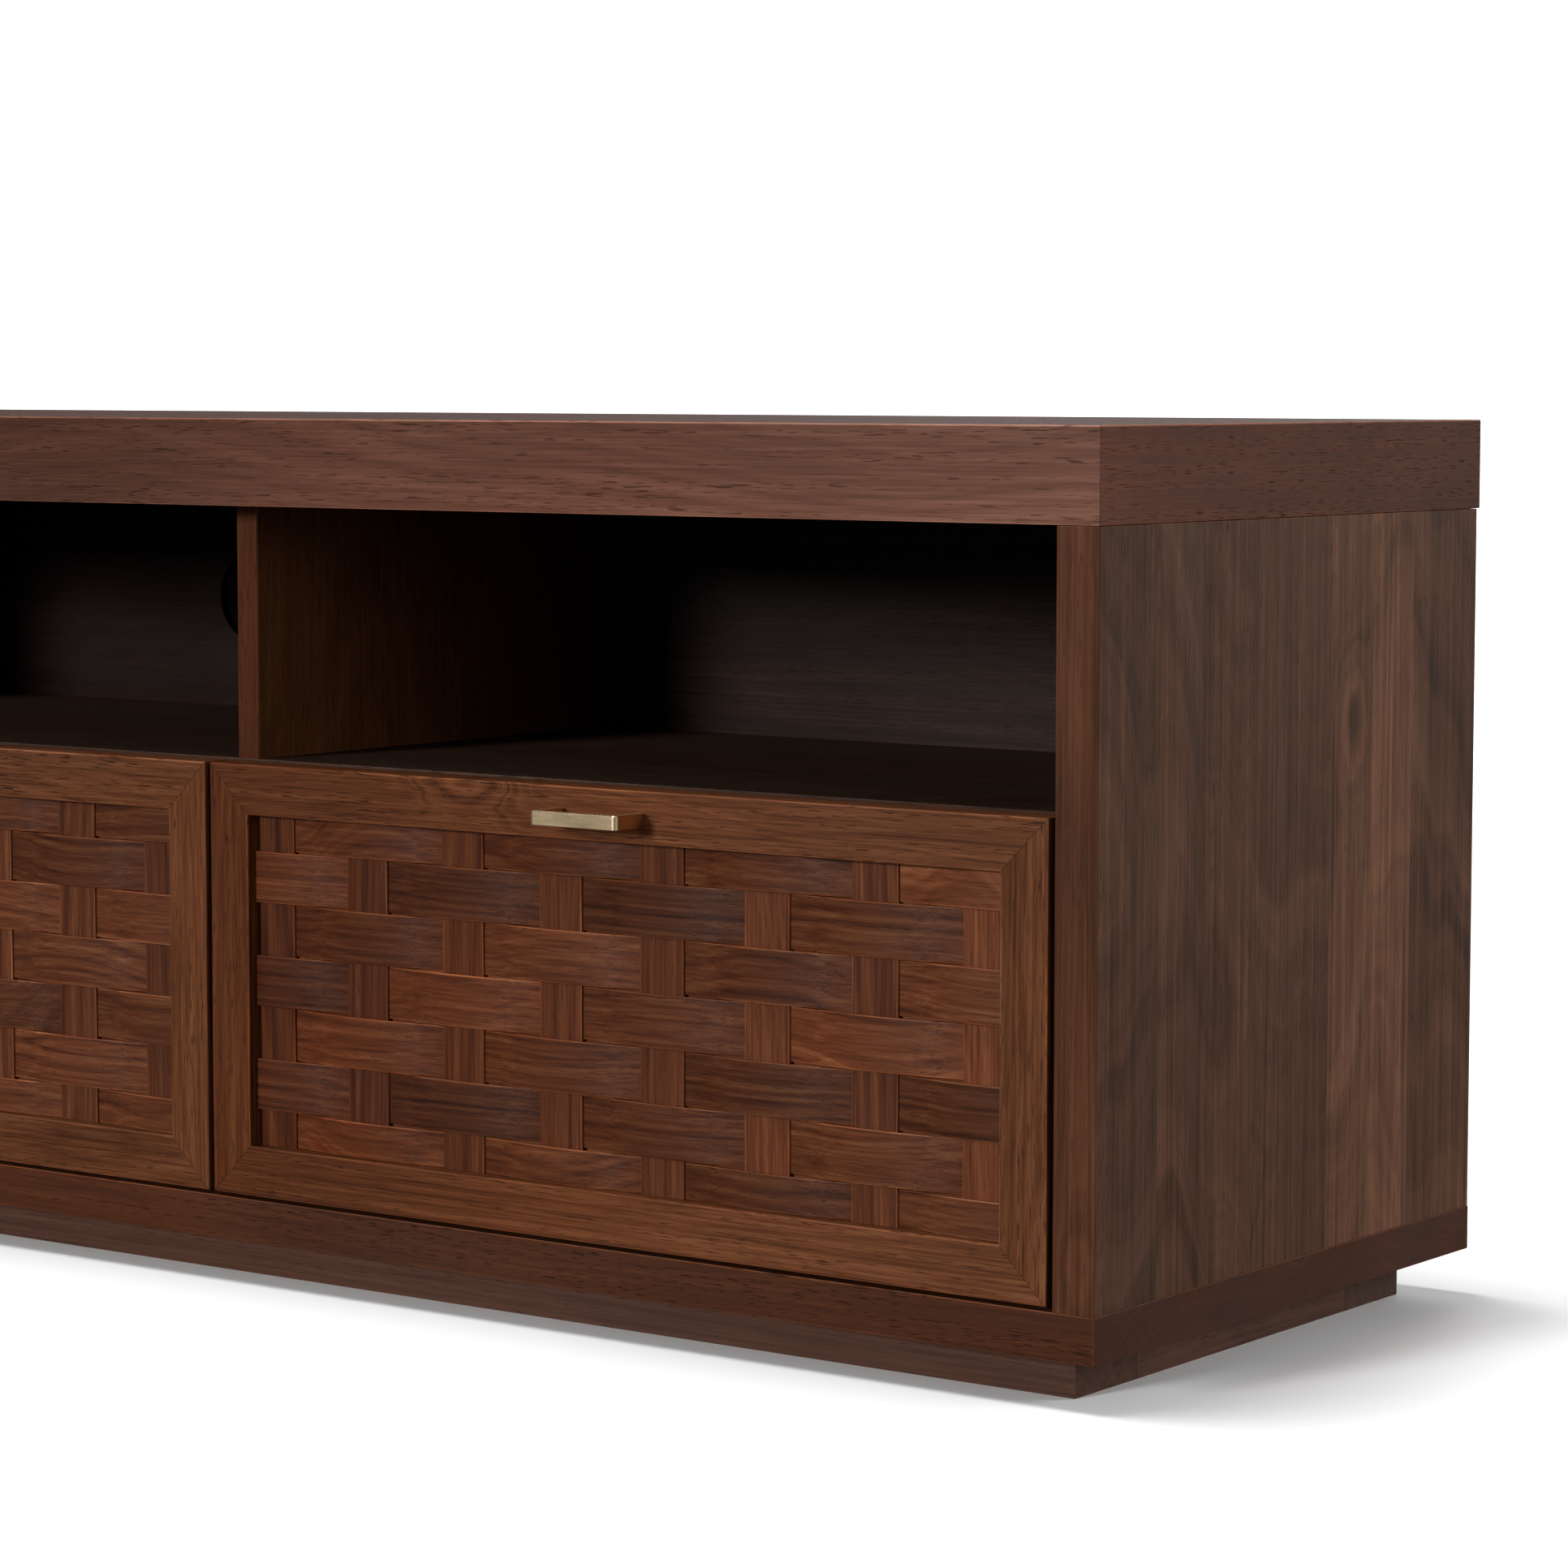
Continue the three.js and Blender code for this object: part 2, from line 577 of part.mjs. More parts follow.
// The door's end of the stay: a plate on the stile's back, an ear and the pivot pin.
function stayBracket() {
  const ear = [stayBarSpan[0] - STAY_SIDE_PLAY - STAY_EAR, stayBarSpan[0] - STAY_SIDE_PLAY];
  const backFace = DOOR_THICKNESS + STAY_EAR;
  const low = stayPivotZ - STAY_PLATE_HEIGHT / 2;
  const high = stayPivotZ + STAY_PLATE_HEIGHT / 2;
  const earHalf = STAY_BAR_WIDTH / 2;
  return geometryOf(
    joined([
      block([ear[0] - STAY_PLATE_WIDTH, ear[1]], [DOOR_THICKNESS, backFace], [low, high]),
      block(ear, [DOOR_THICKNESS, stayPivotY], [stayPivotZ - earHalf, stayPivotZ + earHalf]),
      rodAlongX(earHalf, ear, stayPivotY, stayPivotZ),
      rodAlongX(STAY_PIN_RADIUS, [ear[0] + 0.2, stayBarSpan[1] + STAY_CLEARANCE], stayPivotY, stayPivotZ),
    ]),
  );
}

// ---- One bay: its door and the hardware that carries it -----------------------------------

function buildDoor(bay) {
  const door = new THREE.Group();
  const height = doorTop - doorBottom;
  const top = mitredMember(doorWidth, doorTop);
  const bottom = turnedAboutY(mitredMember(doorWidth, height / 2), 2).translate(0, 0, doorMiddle);
  const left = turnedAboutY(mitredMember(height, doorWidth / 2), 3).translate(0, 0, doorMiddle);
  const right = turnedAboutY(mitredMember(height, doorWidth / 2), 1).translate(0, 0, doorMiddle);
  door.add(piece(`${bay}_door_top_rail`, top, doorWalnut));
  door.add(piece(`${bay}_door_bottom_rail`, geometryOf(cut(bottom, hingeNotches())), doorWalnut));
  door.add(piece(`${bay}_door_left_stile`, left, doorWalnut));
  door.add(piece(`${bay}_door_right_stile`, right, doorWalnut));

  const panel = piece(`${bay}_door_woven_panel`, wovenPanel(), stripWalnut);
  panel.position.z = doorMiddle;
  door.add(panel);
  door.add(piece(`${bay}_door_handle`, pull(), brass));
  for (const [end, x] of Object.entries(hingeCentres())) {
    door.add(piece(`${bay}_door_${end}_hinge_leaf`, hingeLeaf(x), zinc));
  }
  return door;
}

function buildFixedHardware(bay) {
  const hardware = new THREE.Group();
  hardware.add(piece(`${bay}_hinge_rail`, hingeRail(), zinc));
  const catchFront = DOOR_THICKNESS + BEHIND_DOOR;
  const across = [-CATCH_LENGTH / 2, CATCH_LENGTH / 2];
  const deep = [catchFront, catchFront + CATCH_DEPTH];
  hardware.add(
    board(`${bay}_door_catch`, greyPlastic, across, deep, [shelfUnderside - CATCH_HEIGHT, shelfUnderside]),
  );
  return hardware;
}

function buildStay(bay, wallX) {
  const stay = new THREE.Group();
  stay.position.x = wallX;
  stay.add(piece(`${bay}_door_stay_bracket`, stayBracket(), zinc));
  const bar = piece(`${bay}_stay_bar`, stayBar(), zinc);
  bar.position.set(0, stayPivotY, stayPivotZ);
  bar.rotation.x = stayTilt;
  stay.add(bar);
  const stud = piece(`${bay}_stay_stud`, stayStud(), zinc);
  stud.position.set(0, stayStudY, stayStudZ);
  stay.add(stud);
  return stay;
}

function buildBay(bay, index) {
  const group = new THREE.Group();
  group.position.x = (index - (BAYS.length - 1) / 2) * doorPitch;
  const last = index === BAYS.length - 1;
  const dividerFace = (doorPitch - DIVIDER_THICKNESS) / 2;
  const wallX = last ? doorWidth / 2 + DOOR_GAP : dividerFace;
  group.add(buildDoor(bay), buildFixedHardware(bay), buildStay(bay, wallX));
  return group;
}

// ---- The whole stand ----------------------------------------------------------------------

const carcass = new THREE.Group();
carcass.position.y = -(TOP_DEPTH - HANDLE_PROJECTION) / 2;
carcass.add(buildTop(), buildCase(), buildPlinth(), ...BAYS.map(buildBay));

const stand = new THREE.Group();
stand.name = "tv_stand";
stand.add(carcass);

export default stand;
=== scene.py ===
"""A low walnut television stand with woven drop-down doors: the looks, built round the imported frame.

Every class below is one sub-assembly of the stand or one of its finishes. All lengths are in metres,
in the frame's own axes: +X to the viewer's right, +Y to the back, +Z up.
"""

import json
import logging
import math
from dataclasses import dataclass, field
from enum import Enum

import bpy
import numpy as np
from mathutils import Matrix, Vector


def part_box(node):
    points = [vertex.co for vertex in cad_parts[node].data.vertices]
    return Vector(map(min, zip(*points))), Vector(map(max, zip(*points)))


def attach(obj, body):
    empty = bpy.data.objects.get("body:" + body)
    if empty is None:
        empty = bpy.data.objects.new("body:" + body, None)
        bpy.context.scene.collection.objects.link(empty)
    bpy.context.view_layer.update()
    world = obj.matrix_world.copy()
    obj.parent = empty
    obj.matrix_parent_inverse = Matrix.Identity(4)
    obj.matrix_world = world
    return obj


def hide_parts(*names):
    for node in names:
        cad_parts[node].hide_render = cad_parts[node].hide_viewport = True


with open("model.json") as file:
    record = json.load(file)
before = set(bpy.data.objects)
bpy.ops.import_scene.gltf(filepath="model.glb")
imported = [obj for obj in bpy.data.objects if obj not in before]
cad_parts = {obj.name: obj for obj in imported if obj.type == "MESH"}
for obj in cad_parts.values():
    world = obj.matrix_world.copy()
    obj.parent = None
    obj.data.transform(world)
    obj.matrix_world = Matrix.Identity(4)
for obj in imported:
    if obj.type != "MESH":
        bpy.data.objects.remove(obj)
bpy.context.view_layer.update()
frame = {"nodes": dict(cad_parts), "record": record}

LOG = logging.getLogger("tv_stand")
MM = 0.001
AXES = np.eye(3)
BAYS = ("left", "middle", "right")
SEED = 20
TINY = 1e-12
NO_KNOT = 9.0            # shares of a knot's reach, too far off to show
Colour = tuple[float, float, float]


# ---- Shapes -------------------------------------------------------------------------------


class Grain(Enum):
    """Which row axes run along, across and through the grain of a board."""

    ALONG_X_FACE_UP = (0, 1, 2)
    ALONG_X_FACE_FRONT = (0, 2, 1)
    ALONG_Y_FACE_SIDE = (1, 2, 0)
    ALONG_Z_FACE_SIDE = (2, 1, 0)
    ALONG_Z_FACE_FRONT = (2, 0, 1)


@dataclass
class Shell:
    """A closed surface before it becomes a mesh.

    Attributes:
        points: Vertex positions, (n, 3).
        quads: Vertex indices, (m, 4). A triangle repeats an index.
        normals: The shading normal at each corner of each quad, (m, 4, 3).
        arris: 1 on a rounded edge and 0 on a flat, (n,).
    """

    points: np.ndarray
    quads: np.ndarray
    normals: np.ndarray
    arris: np.ndarray

    @staticmethod
    def joined(shells: list["Shell"]) -> "Shell":
        """Puts several closed shells into one.

        Args:
            shells: The shells, which stay separate bodies.

        Returns:
            One shell that holds them all.
        """
        starts = np.cumsum([0] + [len(s.points) for s in shells[:-1]])
        return Shell(
            np.concatenate([s.points for s in shells]),
            np.concatenate([s.quads + start for s, start in zip(shells, starts)]),
            np.concatenate([s.normals for s in shells]),
            np.concatenate([s.arris for s in shells]),
        )

    @staticmethod
    def from_grid(
        points: np.ndarray, normals: "np.ndarray | None", arris: "np.ndarray | None" = None, caps: bool = True
    ) -> "Shell":
        """Turns a grid of rings into a shell.

        Args:
            points: (rings, around, 3). Each ring closes on itself.
            normals: (rings - 1, around, 4, 3), one for each corner of the face between two rings. If left
                out, each face is flat.
            arris: (rings, around). If left out, it is 0.
            caps: Whether the first and last rings are closed by a flat fan from their middle.

        Returns:
            The shell, with its faces turned outwards.
        """
        rings, around = points.shape[:2]
        index = np.arange(rings * around).reshape(rings, around)
        ahead = np.roll(index, -1, axis=1)
        quads = np.stack([index[:-1], ahead[:-1], ahead[1:], index[1:]], axis=-1).reshape(-1, 4)
        flat = points.reshape(-1, 3)
        edge = np.zeros(len(flat)) if arris is None else arris.reshape(-1)
        corner_normals = flat_normals(flat, quads) if normals is None else normals.reshape(-1, 4, 3)
        if caps:
            for ring, other in ((0, 1), (rings - 1, rings - 2)):
                middle = points[ring].mean(axis=0)
                facing = plane_normal(points[ring])
                if np.dot(facing, middle - points[other].mean(axis=0)) < 0:
                    facing = -facing
                flat = np.vstack([flat, middle])
                edge = np.append(edge, 0.0)
                hub = np.full(around, len(flat) - 1)
                pair = (index[ring], ahead[ring]) if ring else (ahead[ring], index[ring])
                quads = np.vstack([quads, np.stack([pair[0], pair[1], hub, hub], axis=-1)])
                corner_normals = np.vstack([corner_normals, np.broadcast_to(facing, (around, 4, 3))])
        return Shell(flat, quads, corner_normals, edge).merged()

    def merged(self) -> "Shell":
        """Joins vertices that share a place, drops faces that vanish and turns the faces outwards.

        The volume is the sum over the faces of the triple product of their corners: if it comes out
        negative, every face is inside out.

        Returns:
            The cleaned shell.
        """
        per_metre = 1e7
        least_area = 1e-14
        keys = np.round(self.points * per_metre).astype(np.int64)
        _, first, back = np.unique(keys, axis=0, return_index=True, return_inverse=True)
        quads = back.reshape(-1)[self.quads]
        points, arris = self.points[first], self.arris[first]
        a, b, c, d = (points[quads[:, k]] for k in range(4))
        keep = np.linalg.norm(np.cross(c - a, d - b), axis=1) > least_area
        volume = np.sum(a * (np.cross(b, c) + np.cross(c, d)))
        quads, normals = quads[keep], self.normals[keep]
        if volume < 0:
            quads, normals = quads[:, [1, 0, 3, 2]], normals[:, [1, 0, 3, 2]]
        same = quads == np.roll(quads, -1, axis=1)
        start = np.where(same.any(axis=1), same.argmax(axis=1) - 2, 0)
        order = (np.arange(4) + start[:, None]) % 4
        quads = np.take_along_axis(quads, order, axis=1)
        normals = np.take_along_axis(normals, order[..., None], axis=1)
        return Shell(points, quads, normals, arris)


def unit(vectors: np.ndarray) -> np.ndarray:
    """One vector, or each row of several, at length one."""
    return vectors / np.maximum(np.linalg.norm(vectors, axis=-1, keepdims=True), TINY)


def flat_normals(points: np.ndarray, quads: np.ndarray) -> np.ndarray:
    """The outward normal of each face, from the cross product of its diagonals.

    Args:
        points: (n, 3).
        quads: (m, 4).

    Returns:
        (m, 4, 3), the same at all four corners of a face.
    """
    a, b, c, d = (points[quads[:, k]] for k in range(4))
    facing = unit(np.cross(c - a, d - b))
    spokes = (a + b + c + d) / 4 - points.mean(axis=0)
    outwards = -1.0 if np.sum(facing * spokes) < 0 else 1.0
    return np.repeat(outwards * facing[:, None], 4, axis=1)


def plane_normal(ring: np.ndarray) -> np.ndarray:
    """The unit normal of a flat ring, from the sum of the cross products of neighbouring points.

    Args:
        ring: (n, 3), in order round the ring.

    Returns:
        The unit normal, turned by the ring's own direction.
    """
    spokes = ring - ring.mean(axis=0)
    return unit(np.cross(spokes, np.roll(spokes, -1, axis=0)).sum(axis=0))


def rounded_box(low: np.ndarray, high: np.ndarray, radius: float, steps: int = 3) -> Shell:
    """A box with rounded edges: a sphere whose eight octants are pushed apart to the box's corners.

    With n the unit vector at longitude t and latitude p, each point is the corner of the smaller
    core box in n's octant plus radius times n.

    Args:
        low: The lowest corner.
        high: The highest corner.
        radius: The radius of the edges.
        steps: How many facets turn a quarter.

    Returns:
        The shell.
    """
    low, high = np.asarray(low, float), np.asarray(high, float)
    radius = min(radius, 0.49 * float((high - low).min()))
    quarter = np.linspace(0.0, math.pi / 2, steps + 1)
    turn = np.concatenate([quarter + k * math.pi / 2 for k in range(4)])
    side_x = np.repeat([1.0, -1.0, -1.0, 1.0], steps + 1)
    side_y = np.repeat([1.0, 1.0, -1.0, -1.0], steps + 1)
    rise = np.concatenate([quarter - math.pi / 2, quarter])
    side_z = np.repeat([-1.0, 1.0], steps + 1)
    p, t = np.meshgrid(rise, turn, indexing="ij")
    n = np.stack([np.cos(p) * np.cos(t), np.cos(p) * np.sin(t), np.sin(p)], axis=-1)
    grid_z = np.broadcast_to(side_z[:, None], p.shape)
    side = np.stack(np.broadcast_arrays(side_x, side_y, grid_z), axis=-1)
    points = (low + high) / 2 + side * ((high - low) / 2 - radius) + radius * n
    arris = (np.abs(n).max(axis=-1) < 0.999).astype(float)
    return Shell.from_grid(points, grid_normals(n), arris)


def grid_normals(n: np.ndarray) -> np.ndarray:
    """The four corner normals of every face of a grid of closed rings, from a normal per point.

    Args:
        n: (rings, around, 3).

    Returns:
        (rings - 1, around, 4, 3).
    """
    ahead = np.roll(n, -1, axis=1)
    return np.stack([n[:-1], ahead[:-1], ahead[1:], n[1:]], axis=2)


@dataclass(frozen=True)
class Outline:
    """A closed flat outline with its corners rounded.

    Attributes:
        points: (n, 2), anticlockwise.
        normals: (n, 2, 2): the outward normal at the start and end of the edge that leaves a point.
        arris: (n,), 1 inside a rounded corner.
    """

    points: np.ndarray
    normals: np.ndarray
    arris: np.ndarray

    @staticmethod
    def rounded(corners: list[tuple[float, float]], radii: list[float], steps: int = 3) -> "Outline":
        """Rounds each corner of a convex or stepped polygon by an arc that both edges touch.

        Args:
            corners: The polygon's corners, anticlockwise.
            radii: One radius per corner. 0 leaves it sharp.
            steps: Facets per arc.

        Returns:
            The outline.
        """
        at = np.array(corners, float)
        points, arc_normals, arc_of = [], [], []
        for k, radius in enumerate(radii):
            into = unit(at[k] - at[k - 1])
            out = unit(at[(k + 1) % len(at)] - at[k])
            if radius <= 0:
                points.append(at[k][None])
                arc_normals.append(np.zeros((1, 2)))
                arc_of.append([-1])
                continue
            turn = math.atan2(into[0] * out[1] - into[1] * out[0], float(into @ out))
            start = math.atan2(-into[0], into[1])
            angle = start + np.linspace(0.0, turn, steps + 1)
            n = np.stack([np.cos(angle), np.sin(angle)], axis=-1)
            centre = at[k] - into * radius * math.tan(turn / 2) - radius * n[0]
            points.append(centre + radius * n)
            arc_normals.append(n)
            arc_of.append([k] * (steps + 1))
        p = np.concatenate(points)
        n = np.concatenate(arc_normals)
        owner = np.concatenate(arc_of)
        curved = (owner >= 0) & (owner == np.roll(owner, -1))
        arcs = np.stack([n, np.roll(n, -1, axis=0)], axis=1)
        normals = np.where(curved[:, None, None], arcs, edge_normals(p)[:, None])
        inner = curved & np.roll(curved, 1)
        return Outline(p, normals, inner.astype(float))

    @staticmethod
    def rectangle(low: tuple[float, float], high: tuple[float, float], radius: float) -> "Outline":
        """A rectangle with all four corners rounded alike."""
        corners = [low, (high[0], low[1]), high, (low[0], high[1])]
        return Outline.rounded(corners, [radius] * 4)


def edge_normals(points: np.ndarray) -> np.ndarray:
    """The outward normal of each edge of an anticlockwise polygon: the edge turned right by 90 degrees."""
    step = np.roll(points, -1, axis=0) - points
    return unit(np.stack([step[:, 1], -step[:, 0]], axis=-1))


@dataclass(frozen=True)
class Placing:
    """Where a section's own axes lie: origin, and the directions of length, first and second axis."""

    origin: np.ndarray
    along: np.ndarray
    first: np.ndarray
    second: np.ndarray

    def put(self, length: np.ndarray, flat: np.ndarray) -> np.ndarray:
        """Places section points: origin + length * along + u * first + v * second."""
        across = flat[..., :1] * self.first + flat[..., 1:] * self.second
        return self.origin + length[..., None] * self.along + across

    def turn(self, flat: np.ndarray) -> np.ndarray:
        """Turns section normals into the row frame."""
        return flat[..., :1] * self.first + flat[..., 1:] * self.second

    def lean(self, flat: np.ndarray, upwards: np.ndarray) -> np.ndarray:
        """Turns section vectors at path points whose own upward directions are given."""
        return flat[None, :, :1] * self.first + flat[None, :, 1:] * upwards[:, None]


def straight_bar(sections: list[Outline], lengths: list[np.ndarray], placing: Placing) -> Shell:
    """An outline carried along a straight line, each ring cut by its own plane.

    Ring k holds the points length_k(u, v) * along + u * first + v * second. A mitre is a length
    that changes with u. Two rings at one place with different outlines make a step between them.

    Args:
        sections: One outline per ring, all with as many points.
        lengths: One array per ring, with a length for every point of the outline.
        placing: Where the bar lies.

    Returns:
        The closed bar.
    """
    rings = [placing.put(length, section.points) for section, length in zip(sections, lengths)]
    faces = []
    for near, far in zip(sections[:-1], sections[1:]):
        if np.allclose(near.points, far.points):
            n = placing.turn(near.normals)
            faces.append(np.stack([n[:, 0], n[:, 1], n[:, 1], n[:, 0]], axis=1))
            continue
        inwards = 1.0 if np.abs(far.points).sum() > np.abs(near.points).sum() else -1.0
        faces.append(np.broadcast_to(-inwards * placing.along, (len(near.points), 4, 3)))
    return Shell.from_grid(np.stack(rings), np.stack(faces), np.stack([s.arris for s in sections]))


def bent_strip(path: np.ndarray, section: Outline, placing: Placing) -> Shell:
    """A section carried along a path that bends in one plane.

    At each path point the section's first axis stays level and its second axis follows the path's
    own normal, so ring k is path_k + u * first + v * normal_k.

    Args:
        path: (m, 2): distance along `along`, and height along `second`.
        section: The outline: u across the strip, v through its thickness.
        placing: Where the path's plane lies.

    Returns:
        The closed strip.
    """
    step = unit(np.diff(path, axis=0))
    tangent = unit(np.vstack([step[:1], step[:-1] + step[1:], step[-1:]]))
    upwards = -tangent[:, 1:] * placing.along + tangent[:, :1] * placing.second
    base = placing.origin + path[:, :1] * placing.along + path[:, 1:] * placing.second
    points = base[:, None] + placing.lean(section.points, upwards)
    starts, ends = (placing.lean(section.normals[:, k], upwards) for k in (0, 1))
    normals = np.stack([starts[:-1], ends[:-1], ends[1:], starts[1:]], axis=2)
    arris = np.broadcast_to(section.arris, points.shape[:2])
    return Shell.from_grid(points, normals, arris)


# For each row axis: the two axes round it, and then the axis itself.
ROUND_AXIS = ((1, 2, 0), (2, 0, 1), (0, 1, 2))


def turned_piece(profile: np.ndarray, centre: np.ndarray, axis: int, sides: int) -> Shell:
    """A profile turned about a row axis: at angle t, radius r gives r cos t and r sin t.

    Args:
        profile: (m, 2): radius and height, from the axis to the axis.
        centre: The profile's zero height on the axis.
        axis: The row axis, 0 to 2.
        sides: Facets round the axis.

    Returns:
        The closed shell.
    """
    t = np.linspace(0.0, 2 * math.pi, sides, endpoint=False)
    r, h = profile[:, :1], profile[:, 1:]
    height = np.broadcast_to(h, (len(profile), sides))
    local = np.stack([r * np.cos(t), r * np.sin(t), height], axis=-1)
    step = unit(np.diff(profile, axis=0))
    out, up = step[:, 1:], -step[:, :1]
    ring = np.stack([out * np.cos(t), out * np.sin(t), np.broadcast_to(up, (len(step), sides))], axis=-1)
    ahead = np.roll(ring, -1, axis=1)
    normals = np.stack([ring, ahead, ahead, ring], axis=2)
    swap = np.argsort(ROUND_AXIS[axis])
    return Shell.from_grid(local[..., swap] + centre, normals[..., swap], caps=False)


def screw_head(centre: np.ndarray, axis: int, radius: float, height: float) -> Shell:
    """A domed screw head with a cross recess, as a polar grid.

    At radius r and angle t the dome stands height times (1 - fall (r / radius)^2) over the seat. Near
    the middle it drops by the recess depth where the nearer of the cross's two arms is close enough.

    Args:
        centre: The middle of the seat.
        axis: The screw's row axis, which the head looks along.
        radius: The head's radius.
        height: The dome's height.

    Returns:
        The closed head.
    """
    fall, edge_fall, recess_depth, recess_reach, arm_half_width, turn = 0.4, 0.2, 0.6, 0.65, 0.14, 0.3
    share = np.array([0.0, 0.12, 0.2, 0.3, 0.42, 0.55, 0.62, 0.68, 0.85, 0.96, 1.0, 1.0, 0.0])[:, None]
    t = np.linspace(0.0, 2 * math.pi, 48, endpoint=False)
    r = share * radius
    arm = np.minimum(np.abs(np.sin(t + turn)), np.abs(np.cos(t + turn))) * r
    dome = height * (1.0 - fall * share**2 - edge_fall * (share > 0.99))
    level = dome - recess_depth * height * ((arm < arm_half_width * radius) & (share < recess_reach))
    level[-2:] = 0.0
    local = np.stack([r * np.cos(t), r * np.sin(t), level], axis=-1)
    return Shell.from_grid(local[..., np.argsort(ROUND_AXIS[axis])] + centre, None, caps=False)


# ---- Shader graphs ------------------------------------------------------------------------


Socket = bpy.types.NodeSocket
Stops = tuple[tuple[float, Colour], ...]


class Graph:
    """A material under construction, with short calls for the nodes that the finishes share."""

    def __init__(self, name: str) -> None:
        """Starts an empty material with one glossy shader."""
        self.material = bpy.data.materials.new(name)
        self.material.use_nodes = True
        self.tree = self.material.node_tree
        self.tree.nodes.clear()
        output = self.tree.nodes.new("ShaderNodeOutputMaterial")
        self.shader = self.tree.nodes.new("ShaderNodeBsdfPrincipled")
        self.tree.links.new(self.shader.outputs[0], output.inputs[0])

    def set(self, socket: str, value: "float | tuple | Socket") -> None:
        """Links or sets one input of the shader."""
        self.feed(self.shader.inputs[socket], value)

    def feed(self, target: Socket, value: "float | tuple | Socket") -> None:
        """Links a socket to the target, or sets the target's own value."""
        if isinstance(value, bpy.types.NodeSocket):
            self.tree.links.new(value, target)
        elif isinstance(value, tuple) and len(value) == 3 and target.type == "RGBA":
            target.default_value = (*value, 1.0)
        else:
            target.default_value = value

    def node(self, kind: str, inputs: dict, **settings: object) -> bpy.types.Node:
        """Adds a node.

        Args:
            kind: The node's type without its ShaderNode prefix.
            inputs: Values or sockets by input name or index.
            **settings: The node's own properties.

        Returns:
            The node.
        """
        made = self.tree.nodes.new("ShaderNode" + kind)
        for key, value in settings.items():
            setattr(made, key, value)
        for key, value in inputs.items():
            self.feed(made.inputs[key], value)
        return made

    def math(self, operation: str, a: "float | Socket", b: "float | Socket" = 0.0) -> Socket:
        """One arithmetic step on two numbers."""
        return self.node("Math", {0: a, 1: b}, operation=operation).outputs[0]

    def scaled(self, value: Socket, gain: float, lift: float = 0.0) -> Socket:
        """value times gain plus lift."""
        made = self.node("Math", {0: value, 1: gain, 2: lift}, operation="MULTIPLY_ADD")
        return made.outputs[0]

    def attribute(self, name: str, kind: str = "Fac") -> Socket:
        """Reads an attribute of the piece's own mesh."""
        return self.node("Attribute", {}, attribute_name=name).outputs[kind]

    def vector(self, x: "float | Socket", y: "float | Socket", z: "float | Socket") -> Socket:
        """A vector from three numbers."""
        return self.node("CombineXYZ", {0: x, 1: y, 2: z}).outputs[0]

    def stretched(self, vector: Socket, scale: tuple[float, float, float]) -> Socket:
        """The vector with each part multiplied by its own scale."""
        return self.node("VectorMath", {0: vector, 1: scale}, operation="MULTIPLY").outputs[0]

    def shifted(self, vector: Socket, offset: "Socket | tuple") -> Socket:
        """The vector plus an offset."""
        return self.node("VectorMath", {0: vector, 1: offset}, operation="ADD").outputs[0]

    def noise(self, vector: Socket, scale: float, detail: float = 2.0, rough: float = 0.5) -> Socket:
        """Smooth noise from 0 to 1."""
        inputs = {"Vector": vector, "Scale": scale, "Detail": detail, "Roughness": rough}
        return self.node("TexNoise", inputs).outputs["Fac"]

    def noise_along(self, w: Socket, scale: float, detail: float = 2.0, rough: float = 0.5) -> Socket:
        """Smooth noise of one number."""
        inputs = {"W": w, "Scale": scale, "Detail": detail, "Roughness": rough}
        return self.node("TexNoise", inputs, noise_dimensions="1D").outputs["Fac"]

    def ramp(self, value: Socket, low: float, high: float) -> Socket:
        """0 below low, 1 above high and smooth between them."""
        inputs = {"Value": value, "From Min": low, "From Max": high}
        return self.node("MapRange", inputs, interpolation_type="SMOOTHSTEP").outputs["Result"]

    def colours(self, value: Socket, stops: Stops) -> Socket:
        """A colour ramp.

        Args:
            value: Where to read the ramp, 0 to 1.
            stops: Places and their colours, in order.

        Returns:
            The colour socket.
        """
        made = self.node("ValToRGB", {0: value})
        elements = made.color_ramp.elements
        while len(elements) < len(stops):
            elements.new(0.5)
        for element, (place, colour) in zip(elements, stops):
            element.position = place
            element.color = (*colour, 1.0)
        return made.outputs[0]

    def blend(
        self, share: "float | Socket", a: "Colour | Socket", b: "Colour | Socket", how: str = "MIX"
    ) -> Socket:
        """Mixes two colours."""
        made = self.node("MixRGB", {"Fac": share, "Color1": a, "Color2": b}, blend_type=how)
        return made.outputs[0]

    def relief(self, height: Socket, distance: float, strength: float) -> None:
        """Gives the shader a bump from a height."""
        inputs = {"Height": height, "Distance": distance, "Strength": strength}
        self.set("Normal", self.node("Bump", inputs).outputs[0])


@dataclass(frozen=True)
class Cut:
    """Which part of the log a point's wood is cut from.

    Attributes:
        local: The distance from the log's middle line, across the grain.
        pick: A random number for the leaf or the board.
        depth: A second one.
        slide: How far its figure is shifted within the noise.
    """

    local: Socket
    pick: Socket
    depth: Socket
    slide: Socket


